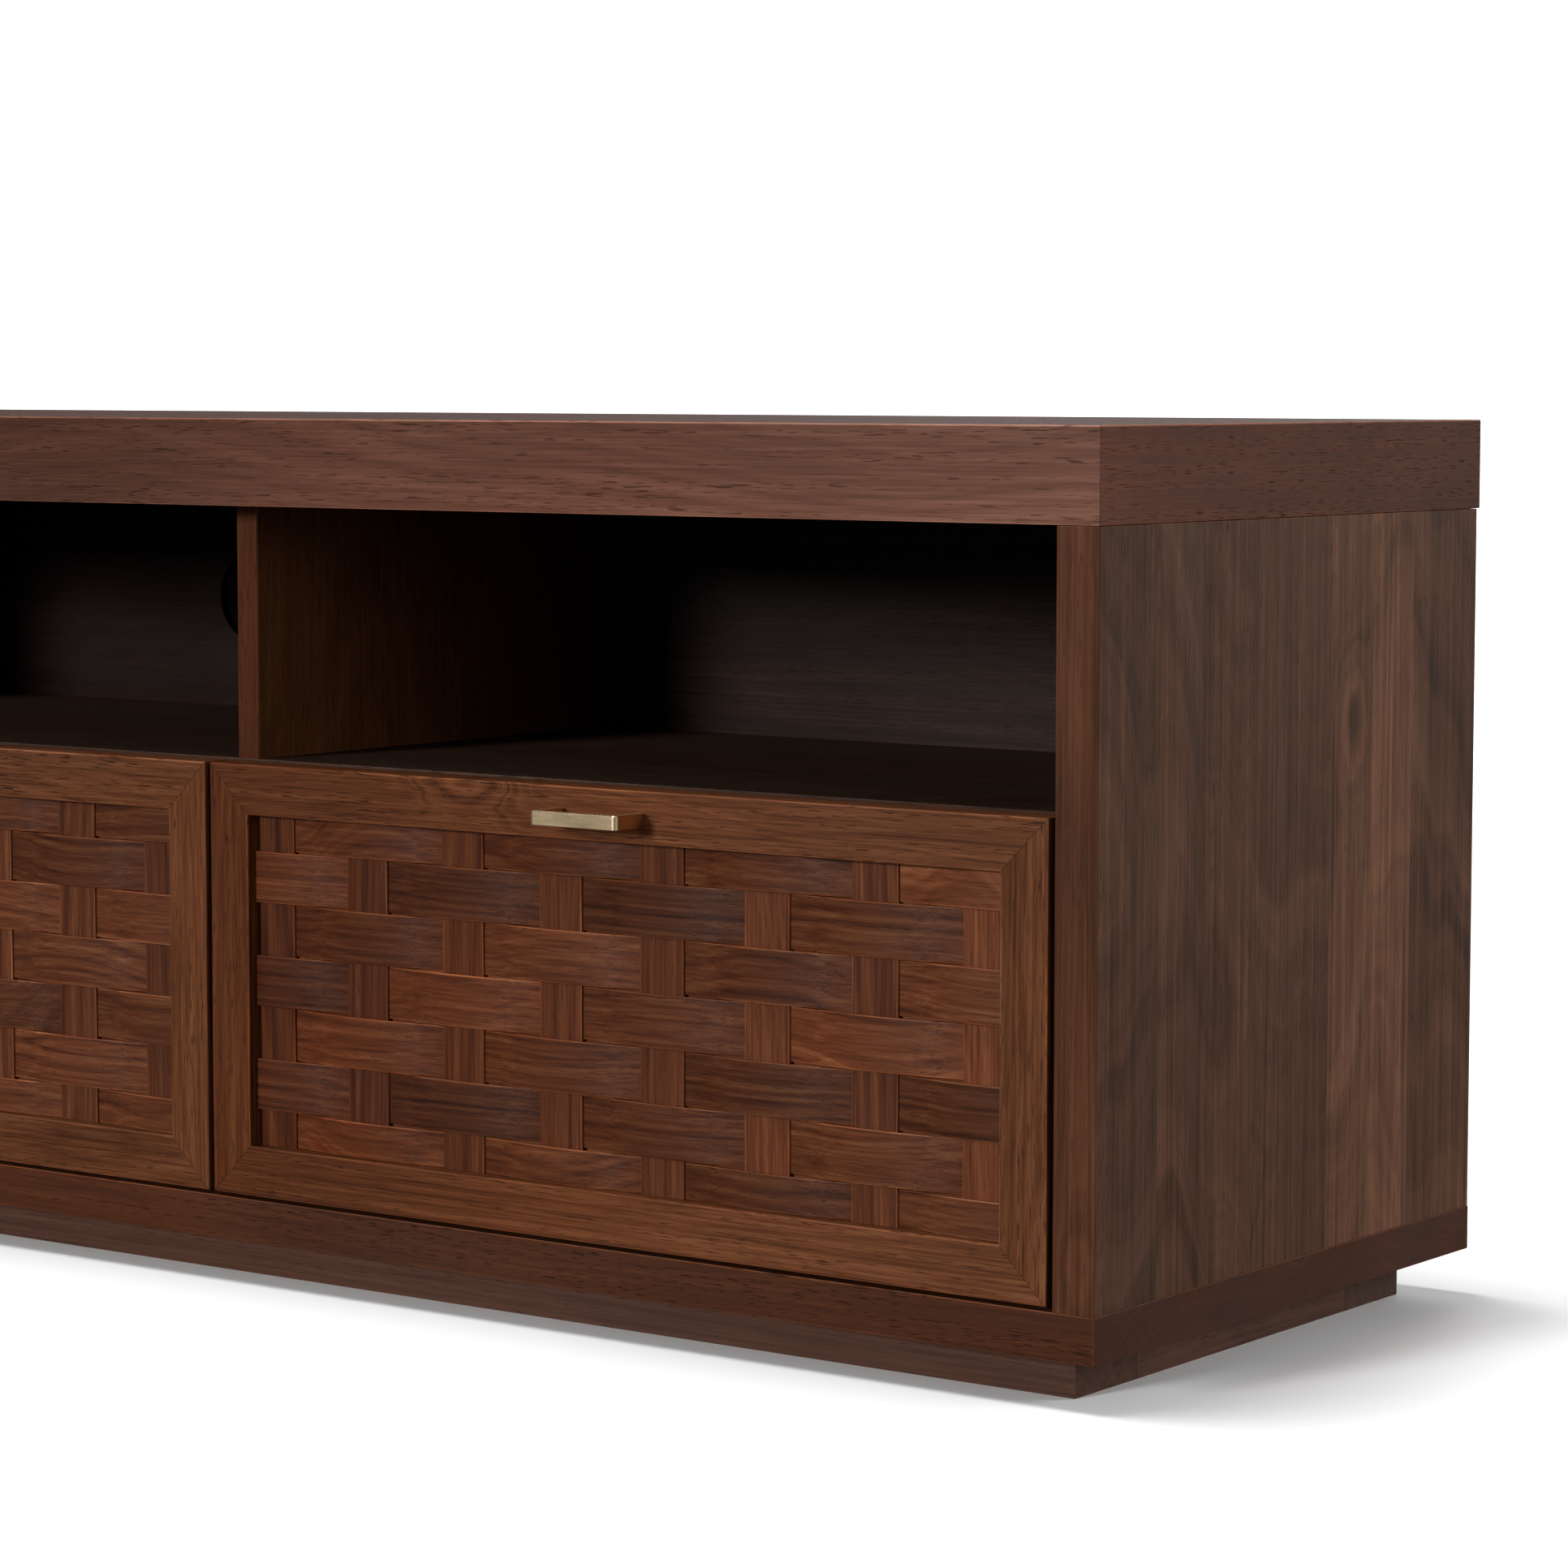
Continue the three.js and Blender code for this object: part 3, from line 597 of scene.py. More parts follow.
@dataclass(frozen=True)
class Walnut:
    """Satin lacquered walnut, as solid wood or as veneer laid in leaves.

    The mesh attribute `grain` holds metres along, across and through the grain, and `tone` a number
    for the piece. Growth rings are bands of one noise read along the distance to a slightly tilted
    pith line, so they run straight at a leaf's sides and in long arches down its middle.

    Attributes:
        name: The material's name.
        dark: The colour of late wood.
        middle: The colour between.
        light: The colour of early wood.
        leaf: The width of a veneer leaf, or 0 for solid wood.
        leaf_contrast: How much leaves differ in tone.
        ring: How strongly the growth rings show.
        ring_pitch: Rings per metre.
        streak: How strongly the fibres show.
        stripe: How strongly the broader veins show.
        fibre: The fibres' fineness along, across and through the grain.
        vein: The veins' fineness likewise.
        drift: The fineness of the log's slow drift likewise.
        wave: The fineness of the rings' wavering likewise.
        zone: The fineness of the paler and darker zones likewise.
        dash: The fineness of the pores likewise.
        contrast: How far the figure spreads over the three colours.
        waviness: How far the rings waver, in metres.
        heart: How far the board's middle lies from the log's heart.
        cast: The colour that dark leaves and zones lean to.
        cast_share: How far they lean.
        pores: How dark the pores are.
        gloss: The shader's roughness between the pores.
        sheen: The shader's specular level.
        swirl: How far the rings bend round a knot.
        knot_rings: How much stronger the rings are near a knot.
        arris: How strongly the painted highlight shows on the rounded edges.
        edge_highlight_tint: What a rounded edge's colour is multiplied by, a painted highlight.
    """

    name: str
    dark: Colour
    middle: Colour
    light: Colour
    leaf: float = 0.0
    leaf_contrast: float = 0.3
    ring: float = 0.5
    ring_pitch: float = 260.0
    streak: float = 0.35
    stripe: float = 0.25
    fibre: tuple[float, float, float] = (9.0, 520.0, 520.0)
    vein: tuple[float, float, float] = (3.0, 120.0, 120.0)
    drift: tuple[float, float, float] = (2.2, 9.0, 9.0)
    wave: tuple[float, float, float] = (9.0, 60.0, 60.0)
    zone: tuple[float, float, float] = (3.5, 14.0, 14.0)
    dash: tuple[float, float, float] = (95.0, 1500.0, 1500.0)
    contrast: float = 3.2
    waviness: float = 0.002
    heart: float = 0.0
    cast: Colour = (0.04, 0.033, 0.03)
    cast_share: float = 0.3
    pores: float = 0.35
    gloss: float = 0.42
    sheen: float = 0.06
    swirl: float = 0.008
    knot_rings: float = 0.0
    arris: float = 0.5
    edge_highlight_tint: Colour = (1.9, 1.75, 1.65)

    def build(self) -> bpy.types.Material:
        """Builds the material.

        Returns:
            The finished material.
        """
        g = Graph(self.name)
        grain = g.attribute("grain", "Vector")
        along, across, through = g.node("SeparateXYZ", {0: grain}).outputs
        cut = self.leaf_cut(g, across) if self.leaf else self.board_cut(g, across)
        body = g.shifted(grain, cut.slide)
        drift = g.noise(g.stretched(body, self.drift), 1.0)
        wave = g.noise(g.stretched(body, self.wave), 1.0)
        fibre = g.noise(g.stretched(body, self.fibre), 1.0, 4.0, 0.65)
        vein = g.noise(g.stretched(body, self.vein), 1.0, 3.0, 0.55)
        zone = g.noise(g.stretched(body, self.zone), 1.0)
        dash = g.noise(g.stretched(body, self.dash), 1.0, 0.0)
        pore = g.math("MULTIPLY", g.ramp(dash, 0.62, 0.72), g.ramp(vein, 0.38, 0.62))
        near, eye = self.knot_shares(g, wave)
        rings = self.growth_rings(g, cut, along, through, drift, wave, near)
        colour = self.figured(g, rings, fibre, vein, near)
        colour = self.shaded(g, colour, cut, zone, drift)
        g.set("Base Color", self.marked(g, colour, pore, eye))
        self.lacquer(g, fibre, pore)
        return g.material

    def leaf_cut(self, g: Graph, across: Socket) -> Cut:
        """Veneer: leaves of slightly uneven width, each from a random part of the log.

        With w the leaf's width, a point at distance x across lies at x / w + sway sin(turns x / w)
        leaves. The whole part numbers the leaf, and the rest is the place in it.
        """
        turns, sway = 1.9, 0.22
        wander = g.math("SINE", g.scaled(across, turns / self.leaf))
        place = g.math("ADD", g.scaled(wander, sway), g.scaled(across, 1.0 / self.leaf))
        number = g.math("FLOOR", place)
        chance = g.node("TexWhiteNoise", {"W": number}, noise_dimensions="1D").outputs
        pick, centre, depth = list(g.node("SeparateColor", {0: chance["Color"]}).outputs)[:3]
        local = g.scaled(g.scaled(g.math("FRACT", place), 1.0, -0.5), self.leaf)
        local = g.math("ADD", local, g.scaled(centre, self.leaf, self.heart - 0.5 * self.leaf))
        slide = g.vector(g.scaled(pick, 7.0), g.scaled(centre, 5.0), g.scaled(depth, 3.0))
        return Cut(local, pick, depth, slide)

    def board_cut(self, g: Graph, across: Socket) -> Cut:
        """Solid wood: the figure is mirrored every 90 mm, and the piece's tone picks the part of the log."""
        width = 0.09
        tone = g.attribute("tone")
        local = g.scaled(g.math("PINGPONG", across, width), 1.0, self.heart - width / 2)
        depth = g.math("FRACT", g.scaled(tone, 7.3))
        return Cut(local, tone, depth, g.vector(g.scaled(tone, 7.0), 0.0, 0.0))

    def knot_shares(self, g: Graph, wave: Socket) -> tuple[Socket, Socket]:
        """How near a point is to the knot, and how far it is inside the knot's eye, both 0 to 1.

        The mesh attribute `knot` holds the way to the knot in shares of its reach. Noise added to
        its length keeps the rings from being even circles.
        """
        unevenness, eye_edge, eye_core = 0.5, 0.22, 0.05
        knot = g.stretched(g.attribute("knot", "Vector"), (1.0, 1.0, 0.0))
        away = g.node("VectorMath", {0: knot}, operation="LENGTH").outputs["Value"]
        away = g.math("ADD", away, g.scaled(wave, unevenness, -unevenness / 2))
        return g.ramp(away, 1.0, 0.0), g.ramp(away, eye_edge, eye_core)

    def growth_rings(
        self, g: Graph, cut: Cut, along: Socket, through: Socket, drift: Socket, wave: Socket, near: Socket
    ) -> Socket:
        """The rings, a noise of the distance to the pith line.

        The distance is the square root of local^2 + below^2, with below the depth to the line. The
        line slopes along the board and turns back at its highest and lowest.

        Args:
            g: The material.
            cut: The part of the log.
            along: The distance along the grain.
            through: The distance through the grain.
            drift: The log's slow drift.
            wave: The rings' wavering.
            near: How near the knot is.

        Returns:
            The rings, 0 to 1.
        """
        slope, highest, lowest, start = 0.055, 0.03, 0.004, 1.7
        tilt = g.scaled(g.math("ADD", along, g.scaled(cut.pick, start)), slope)
        rise = g.scaled(g.math("PINGPONG", tilt, highest), 1.0, lowest)
        below = g.math("ADD", g.math("ADD", rise, through), g.scaled(drift, 0.03, -0.01))
        span = g.math("ADD", g.math("MULTIPLY", cut.local, cut.local), g.math("MULTIPLY", below, below))
        pith = g.math("ADD", g.math("SQRT", span), g.scaled(wave, self.waviness))
        pith = g.math("ADD", pith, g.scaled(near, self.swirl))
        return g.noise_along(g.math("ADD", pith, g.scaled(cut.pick, 3.0)), self.ring_pitch, 3.0, 0.6)

    def figured(self, g: Graph, rings: Socket, fibre: Socket, vein: Socket, near: Socket) -> Socket:
        """Rings, fibres and veins summed and read as a colour from dark to light.

        Args:
            g: The material.
            rings: The growth rings.
            fibre: The fibres.
            vein: The veins.
            near: How near the knot is, where the rings are stronger.

        Returns:
            The wood's colour.
        """
        figure = g.math("ADD", g.scaled(rings, self.ring), g.scaled(fibre, self.streak))
        figure = g.math("ADD", figure, g.scaled(vein, self.stripe))
        mean = 0.5 * (self.ring + self.streak + self.stripe)
        swing = g.math("MULTIPLY", g.scaled(rings, self.knot_rings, -0.5 * self.knot_rings), near)
        figure = g.scaled(g.math("ADD", figure, swing), self.contrast, 0.5 - self.contrast * mean)
        return g.colours(figure, ((0.0, self.dark), (0.5, self.middle), (1.0, self.light)))

    def shaded(self, g: Graph, colour: Socket, cut: Cut, zone: Socket, drift: Socket) -> Socket:
        """The colour with its leaf's own tone, the piece's tint, which carries painted light and shade on
        many pieces, and the cast of the darker zones.

        Args:
            g: The material.
            colour: The wood's colour.
            cut: The part of the log.
            zone: The paler and darker zones.
            drift: The log's slow drift.

        Returns:
            The shaded colour.
        """
        zone_swing, zone_least, least_cast = 0.8, 0.6, 0.05
        shade = g.scaled(cut.pick, 2 * self.leaf_contrast, 1.0 - self.leaf_contrast)
        shade = g.math("MULTIPLY", shade, g.scaled(zone, zone_swing, zone_least))
        colour = g.blend(1.0, colour, g.vector(shade, shade, shade), "MULTIPLY")
        # The tint attribute carries painted light and shade on many pieces.
        colour = g.blend(1.0, colour, g.attribute("tint", "Vector"), "MULTIPLY")
        cast = g.scaled(cut.depth, self.cast_share, least_cast)
        return g.blend(g.math("MULTIPLY", g.ramp(drift, 0.35, 0.7), cast), colour, self.cast)

    def marked(self, g: Graph, colour: Socket, pore: Socket, eye: Socket) -> Socket:
        """The colour with dark pores, a dark knot and a painted highlight on the rounded edges."""
        knot_share = 0.65
        in_pore = g.blend(1.0, colour, (1.0 - self.pores,) * 3, "MULTIPLY")
        colour = g.blend(pore, colour, in_pore)
        colour = g.blend(g.scaled(eye, knot_share), colour, self.dark)
        # Painted highlight: the rounded edges are made paler, standing in for the light that they catch.
        highlight_share = g.math("MULTIPLY", g.attribute("arris"), self.arris)
        return g.blend(highlight_share, colour, g.blend(1.0, colour, self.edge_highlight_tint, "MULTIPLY"))

    def lacquer(self, g: Graph, fibre: Socket, pore: Socket) -> None:
        """The gloss, duller in the pores, and the relief of fibres and pores under the lacquer."""
        swing, duller = 0.2, 0.2
        rough = g.scaled(fibre, swing, self.gloss - swing / 2)
        g.set("Roughness", g.math("ADD", rough, g.scaled(pore, duller)))
        g.set("Specular IOR Level", self.sheen)
        height = g.math("SUBTRACT", g.scaled(fibre, 0.6), pore)
        g.relief(height, 0.22 * MM, 0.4)


@dataclass(frozen=True)
class SatinMetal:
    """Brushed and lacquered metal: fine lines along one axis, with cloudy gloss.

    Attributes:
        name: The material's name.
        colour: The metal's own colour.
        rough: The mean roughness.
        lines: The scale of the brushing along X, Y and Z. The smallest runs with the lines.
        anisotropy: How far highlights stretch across the lines.
    """

    name: str
    colour: Colour
    rough: float = 0.3
    lines: tuple[float, float, float] = (60.0, 2500.0, 2500.0)
    anisotropy: float = 0.4

    def build(self) -> bpy.types.Material:
        """Builds the material."""
        g = Graph(self.name)
        place = g.node("TexCoord", {}).outputs["Object"]
        brushed = g.noise(g.stretched(place, self.lines), 1.0, 3.0, 0.6)
        cloud = g.noise(place, 55.0, 3.0)
        paler = tuple(min(1.0, 1.08 * c) for c in self.colour)
        deeper = tuple(0.86 * c for c in self.colour)
        mixed = g.math("ADD", g.scaled(brushed, 0.5), g.scaled(cloud, 0.5))
        g.set("Base Color", g.colours(mixed, ((0.3, deeper), (0.7, paler))))
        g.set("Metallic", 1.0)
        g.set("Roughness", g.math("ADD", g.scaled(brushed, 0.12, self.rough - 0.09), g.scaled(cloud, 0.06)))
        g.set("Anisotropic", self.anisotropy)
        g.relief(brushed, 0.00004, 0.25)
        return g.material


@dataclass(frozen=True)
class MouldedPlastic:
    """Dark moulded plastic with a fine spark-eroded texture.

    Attributes:
        name: The material's name.
        colour: The plastic's colour.
        sheen: The specular level.
    """

    name: str
    colour: Colour
    sheen: float = 0.5

    def build(self) -> bpy.types.Material:
        """Builds the material."""
        g = Graph(self.name)
        place = g.node("TexCoord", {}).outputs["Object"]
        texture = g.noise(place, 1800.0, 2.0)
        cloud = g.noise(place, 40.0, 2.0)
        paler = tuple(1.35 * c for c in self.colour)
        g.set("Base Color", g.colours(cloud, ((0.35, self.colour), (0.7, paler))))
        g.set("Roughness", g.scaled(texture, 0.2, 0.42))
        g.set("Specular IOR Level", self.sheen)
        g.relief(texture, 0.00006, 0.3)
        return g.material


@dataclass(frozen=True)
class StudioFloor:
    """A plain pale floor, faintly uneven."""

    name: str = "studio_floor"
    colour: Colour = (0.86, 0.86, 0.865)

    def build(self) -> bpy.types.Material:
        """Builds the material."""
        g = Graph(self.name)
        place = g.node("TexCoord", {}).outputs["Object"]
        cloud = g.noise(place, 3.0, 2.0)
        darker = tuple(0.985 * c for c in self.colour)
        g.set("Base Color", g.colours(cloud, ((0.3, darker), (0.7, self.colour))))
        g.set("Roughness", 0.75)
        return g.material


class Finishes:
    """Every finish of the stand, built once and handed to its pieces by slot name."""

    def __init__(self) -> None:
        """Builds the materials."""
        veneer = Walnut(
            "walnut_veneer", (0.040, 0.0150, 0.0095), (0.090, 0.037, 0.024), (0.140, 0.066, 0.046),
            leaf_contrast=0.08, ring=0.20, streak=0.42, stripe=0.22, fibre=(12.0, 700.0, 700.0),
            vein=(4.0, 230.0, 230.0), cast_share=0.10, gloss=0.62, sheen=0.07, contrast=2.8, waviness=0.0015,
            heart=0.045, pores=0.55, arris=1.0, edge_highlight_tint=(2.3, 2.5, 2.6),
        )
        side = Walnut(
            "side_veneer", (0.036, 0.0168, 0.0092), (0.095, 0.0410, 0.0222), (0.152, 0.070, 0.040),
            leaf=0.058, leaf_contrast=0.36, ring=0.26, streak=0.34, stripe=0.26, vein=(2.4, 230.0, 230.0),
            cast=(0.034, 0.024, 0.018), cast_share=0.45, pores=0.25, gloss=0.48, sheen=0.035, contrast=4.2,
            waviness=0.0016,
        )
        back = Walnut(
            "back_veneer", (0.016, 0.009, 0.0065), (0.036, 0.020, 0.015), (0.056, 0.034, 0.027),
            leaf=0.11, leaf_contrast=0.12, ring=0.2, streak=0.40, stripe=0.3, pores=0.3, gloss=0.5,
            sheen=0.05, contrast=4.0,
        )
        plinth = Walnut(
            "plinth_veneer", (0.026, 0.0105, 0.0065), (0.058, 0.025, 0.0155), (0.088, 0.040, 0.026),
            ring=0.15, streak=0.40, gloss=0.5, sheen=0.04,
        )
        door = Walnut(
            "door_walnut", (0.030, 0.0085, 0.0028), (0.092, 0.030, 0.0105), (0.152, 0.058, 0.024),
            leaf_contrast=0.08, ring=0.22, streak=0.46, stripe=0.24, vein=(5.0, 240.0, 240.0),
            fibre=(16.0, 620.0, 620.0), cast_share=0.06, gloss=0.42, sheen=0.05, contrast=3.6, heart=0.05,
            pores=0.7, swirl=0.022, knot_rings=0.75, arris=0.6, edge_highlight_tint=(2.0, 2.1, 2.3),
        )
        woven = Walnut(
            "woven_walnut", (0.025, 0.0058, 0.0022), (0.080, 0.0222, 0.0074), (0.138, 0.049, 0.0190),
            leaf_contrast=0.30, ring=0.28, streak=0.30, stripe=0.22, vein=(3.0, 230.0, 230.0), cast_share=0.0,
            gloss=0.36, sheen=0.09, arris=1.3, edge_highlight_tint=(2.3, 2.5, 2.8), contrast=4.0, waviness=0.0012, heart=0.06,
            pores=0.45,
        )
        self.by_slot = {
            "walnut_veneer": veneer.build(),
            "side_veneer": side.build(),
            "back_veneer": back.build(),
            "plinth_veneer": plinth.build(),
            "door_walnut": door.build(),
            "woven_walnut": woven.build(),
            "satin_brass": SatinMetal("satin_brass", (0.70, 0.53, 0.32), 0.26, anisotropy=0.0).build(),
            "zinc_steel": SatinMetal("zinc_steel", (0.55, 0.56, 0.58), 0.38).build(),
            # Near black with no specular, so the grommet's bristles read as the shade in the cable hole.
            "catch_plastic": MouldedPlastic("catch_plastic", (0.0022, 0.0020, 0.0020), 0.0).build(),
        }

    def dress(self, piece: bpy.types.Object, slot: str) -> None:
        """Gives a piece the finish of a material slot."""
        piece.data.materials.clear()
        piece.data.materials.append(self.by_slot[slot])


# ---- From shells to pieces ----------------------------------------------------------------


@dataclass(frozen=True)
class Knot:
    """A place where the grain flows round a knot.

    Attributes:
        centre: Its place.
        long: Which axis runs along the grain, and how far the swirl reaches that way.
        wide: Which axis runs across the grain, and how far it reaches that way.
    """

    centre: tuple[float, float, float]
    long: tuple[int, float]
    wide: tuple[int, float]

    def seen_from(self, points: np.ndarray) -> np.ndarray:
        """The way from the knot to each point, in shares of the swirl's reach."""
        way = points - np.array(self.centre)
        far = [way[:, axis] / reach for axis, reach in (self.long, self.wide)]
        return np.stack([*far, np.zeros(len(points))], axis=-1)


@dataclass(frozen=True)
class Fade:
    """A change of the colour along one axis: on many pieces painted light and shade, on others a tint of the
    wood.

    Attributes:
        tints: What the colour is multiplied by, at each place.
        places: The places along the axis, in order.
        axis: The axis.
    """

    tints: tuple[Colour, ...] = ((1.0, 1.0, 1.0),)
    places: tuple[float, ...] = (0.0,)
    axis: int = 0

    def at(self, points: np.ndarray) -> np.ndarray:
        """The multiplier at each point, even between the places."""
        at = points[:, self.axis]
        return np.stack([np.interp(at, self.places, tint) for tint in np.array(self.tints).T], axis=-1)


class Workshop:
    """Turns shells into finished pieces of the stand."""

    def __init__(self, finishes: Finishes) -> None:
        """Remembers the finishes and starts the random numbers."""
        self.finishes = finishes
        self.chance = np.random.default_rng(SEED)
        self.slots = {part["node"]: part["material_slot"] for part in frame["record"]["subparts"]}

    def grain_of(self, points: np.ndarray, grain: Grain) -> np.ndarray:
        """Metres along, across and through the grain, from a random place in the log."""
        offset = self.chance.uniform(1.0, 9.0, 3) * (1.0, 1.0, 0.02)
        return points[:, list(grain.value)] + offset

    def make(
        self,
        name: str,
        shell: Shell,
        slot: str,
        body: str,
        nodes: tuple[str, ...] = (),
        grain: "np.ndarray | Grain | None" = None,
        tone: "np.ndarray | float | None" = None,
        knot: "Knot | None" = None,
        fade: Fade = Fade(),
    ) -> bpy.types.Object:
        """Makes one piece.

        Args:
            name: The piece's name.
            shell: Its surface.
            slot: The material slot that it takes its finish from.
            body: The moving body that it rides on.
            nodes: The frame's nodes that it stands for.
            grain: The grain's directions, or finished grain coordinates.
            tone: A number from 0 to 1, for every vertex or for all. If left out, it is drawn.
            knot: A knot in the wood.
            fade: How the colour changes over the piece, painted light and shade included.

        Returns:
            The piece.
        """
        mesh = bpy.data.meshes.new(name)
        quads = shell.quads
        triangle = quads[:, 2] == quads[:, 3]
        sizes = np.where(triangle, 3, 4)
        used = np.ones(quads.shape, bool)
        used[:, 3] = ~triangle
        corners = quads[used]
        corner_normals = shell.normals[used]
        mesh.vertices.add(len(shell.points))
        mesh.vertices.foreach_set("co", shell.points.astype(np.float32).ravel())
        mesh.loops.add(len(corners))
        mesh.loops.foreach_set("vertex_index", corners.astype(np.int32))
        mesh.polygons.add(len(sizes))
        mesh.polygons.foreach_set("loop_start", np.concatenate([[0], np.cumsum(sizes)[:-1]]).astype(np.int32))
        mesh.update(calc_edges=True)
        mesh.polygons.foreach_set("use_smooth", np.ones(len(sizes), bool))
        if mesh.validate():
            LOG.warning("%s had faults in its mesh", name)
        mesh.normals_split_custom_set(corner_normals.tolist())
        self.attribute(mesh, "arris", "FLOAT", shell.arris)
        if grain is not None:
            placed = self.grain_of(shell.points, grain) if isinstance(grain, Grain) else grain
            shade = np.broadcast_to(self.chance.uniform() if tone is None else tone, len(placed))
            self.attribute(mesh, "grain", "FLOAT_VECTOR", placed)
            knotted = np.full((len(placed), 3), NO_KNOT) if knot is None else knot.seen_from(shell.points)
            self.attribute(mesh, "knot", "FLOAT_VECTOR", knotted)
            self.attribute(mesh, "tint", "FLOAT_VECTOR", fade.at(shell.points))
            self.attribute(mesh, "tone", "FLOAT", shade)
        piece = bpy.data.objects.new(name, mesh)
        bpy.context.scene.collection.objects.link(piece)
        self.finishes.dress(piece, slot)
        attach(piece, body)
        if nodes:
            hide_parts(*nodes)
        LOG.info("%s: %d faces", name, len(sizes))
        return piece

    @staticmethod
    def attribute(mesh: bpy.types.Mesh, name: str, kind: str, values: np.ndarray) -> None:
        """Stores one value per vertex."""
        layer = mesh.attributes.new(name, kind, "POINT")
        field_name = "vector" if kind == "FLOAT_VECTOR" else "value"
        layer.data.foreach_set(field_name, np.asarray(values, np.float32).ravel())

    def fixed(self, name: str, shell: Shell, node: str, grain: Grain, **looks: object) -> None:
        """Makes a wooden piece of the case that stands for one node."""
        self.make(name, shell, self.slots[node], "carcass", (node,), grain, **looks)

    def board(self, node: str, grain: Grain, radius: float, fade: Fade = Fade()) -> None:
        """A fixed board with rounded edges in a node's own box."""
        self.fixed(node + "_board", rounded_box(*corners_of(node), radius), node, grain, fade=fade)

    def banded_board(
        self,
        node: str,
        radius: float,
        band: float,
        faces: Fade,
        edge: Fade,
        knot: "Knot | None" = None,
        gap: float = 0.0,
    ) -> None:
        """An upright board with a thin band glued to its front edge.

        Args:
            node: The node that the board stands for.
            radius: The radius of its edges.
            band: The band's thickness.
            faces: The colour of the board, painted shade included where given.
            edge: The colour of the band.
            knot: A knot in the board.
            gap: How far the board stays below the one above it.
        """
        glue = 0.01 * MM
        low, high = corners_of(node)
        high = high - (0.0, 0.0, gap)
        split = np.array([high[0], low[1] + band, high[2]])
        front = rounded_box(low, split, min(radius, 0.45 * band))
        self.fixed(node + "_edge_band", front, node, Grain.ALONG_Z_FACE_FRONT, fade=edge)
        rest = rounded_box(np.array([low[0], split[1] + glue, low[2]]), high, 0.5 * MM)
        self.fixed(node + "_board", rest, node, Grain.ALONG_Z_FACE_SIDE, knot=knot, fade=faces)


def corners_of(node: str) -> tuple[np.ndarray, np.ndarray]:
    """A node's lowest and highest corner as arrays."""
    low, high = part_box(node)
    return np.array(low), np.array(high)


def middle_of(node: str) -> np.ndarray:
    """The middle of a node's box."""
    low, high = corners_of(node)
    return (low + high) / 2


def standing(flat: np.ndarray, y: float) -> np.ndarray:
    """Points of the X and Z plane, stood at one depth."""
    return np.stack([flat[:, 0], np.full(len(flat), y), flat[:, 1]], axis=-1)


def cable_hole() -> np.ndarray:
    """The middle of the cable hole."""
    openings = {opening["name"]: opening for opening in frame["record"]["physics"]["openings"]}
    return np.array(openings["cable_hole"]["box_m"]).mean(axis=0)


# ---- The case -----------------------------------------------------------------------------


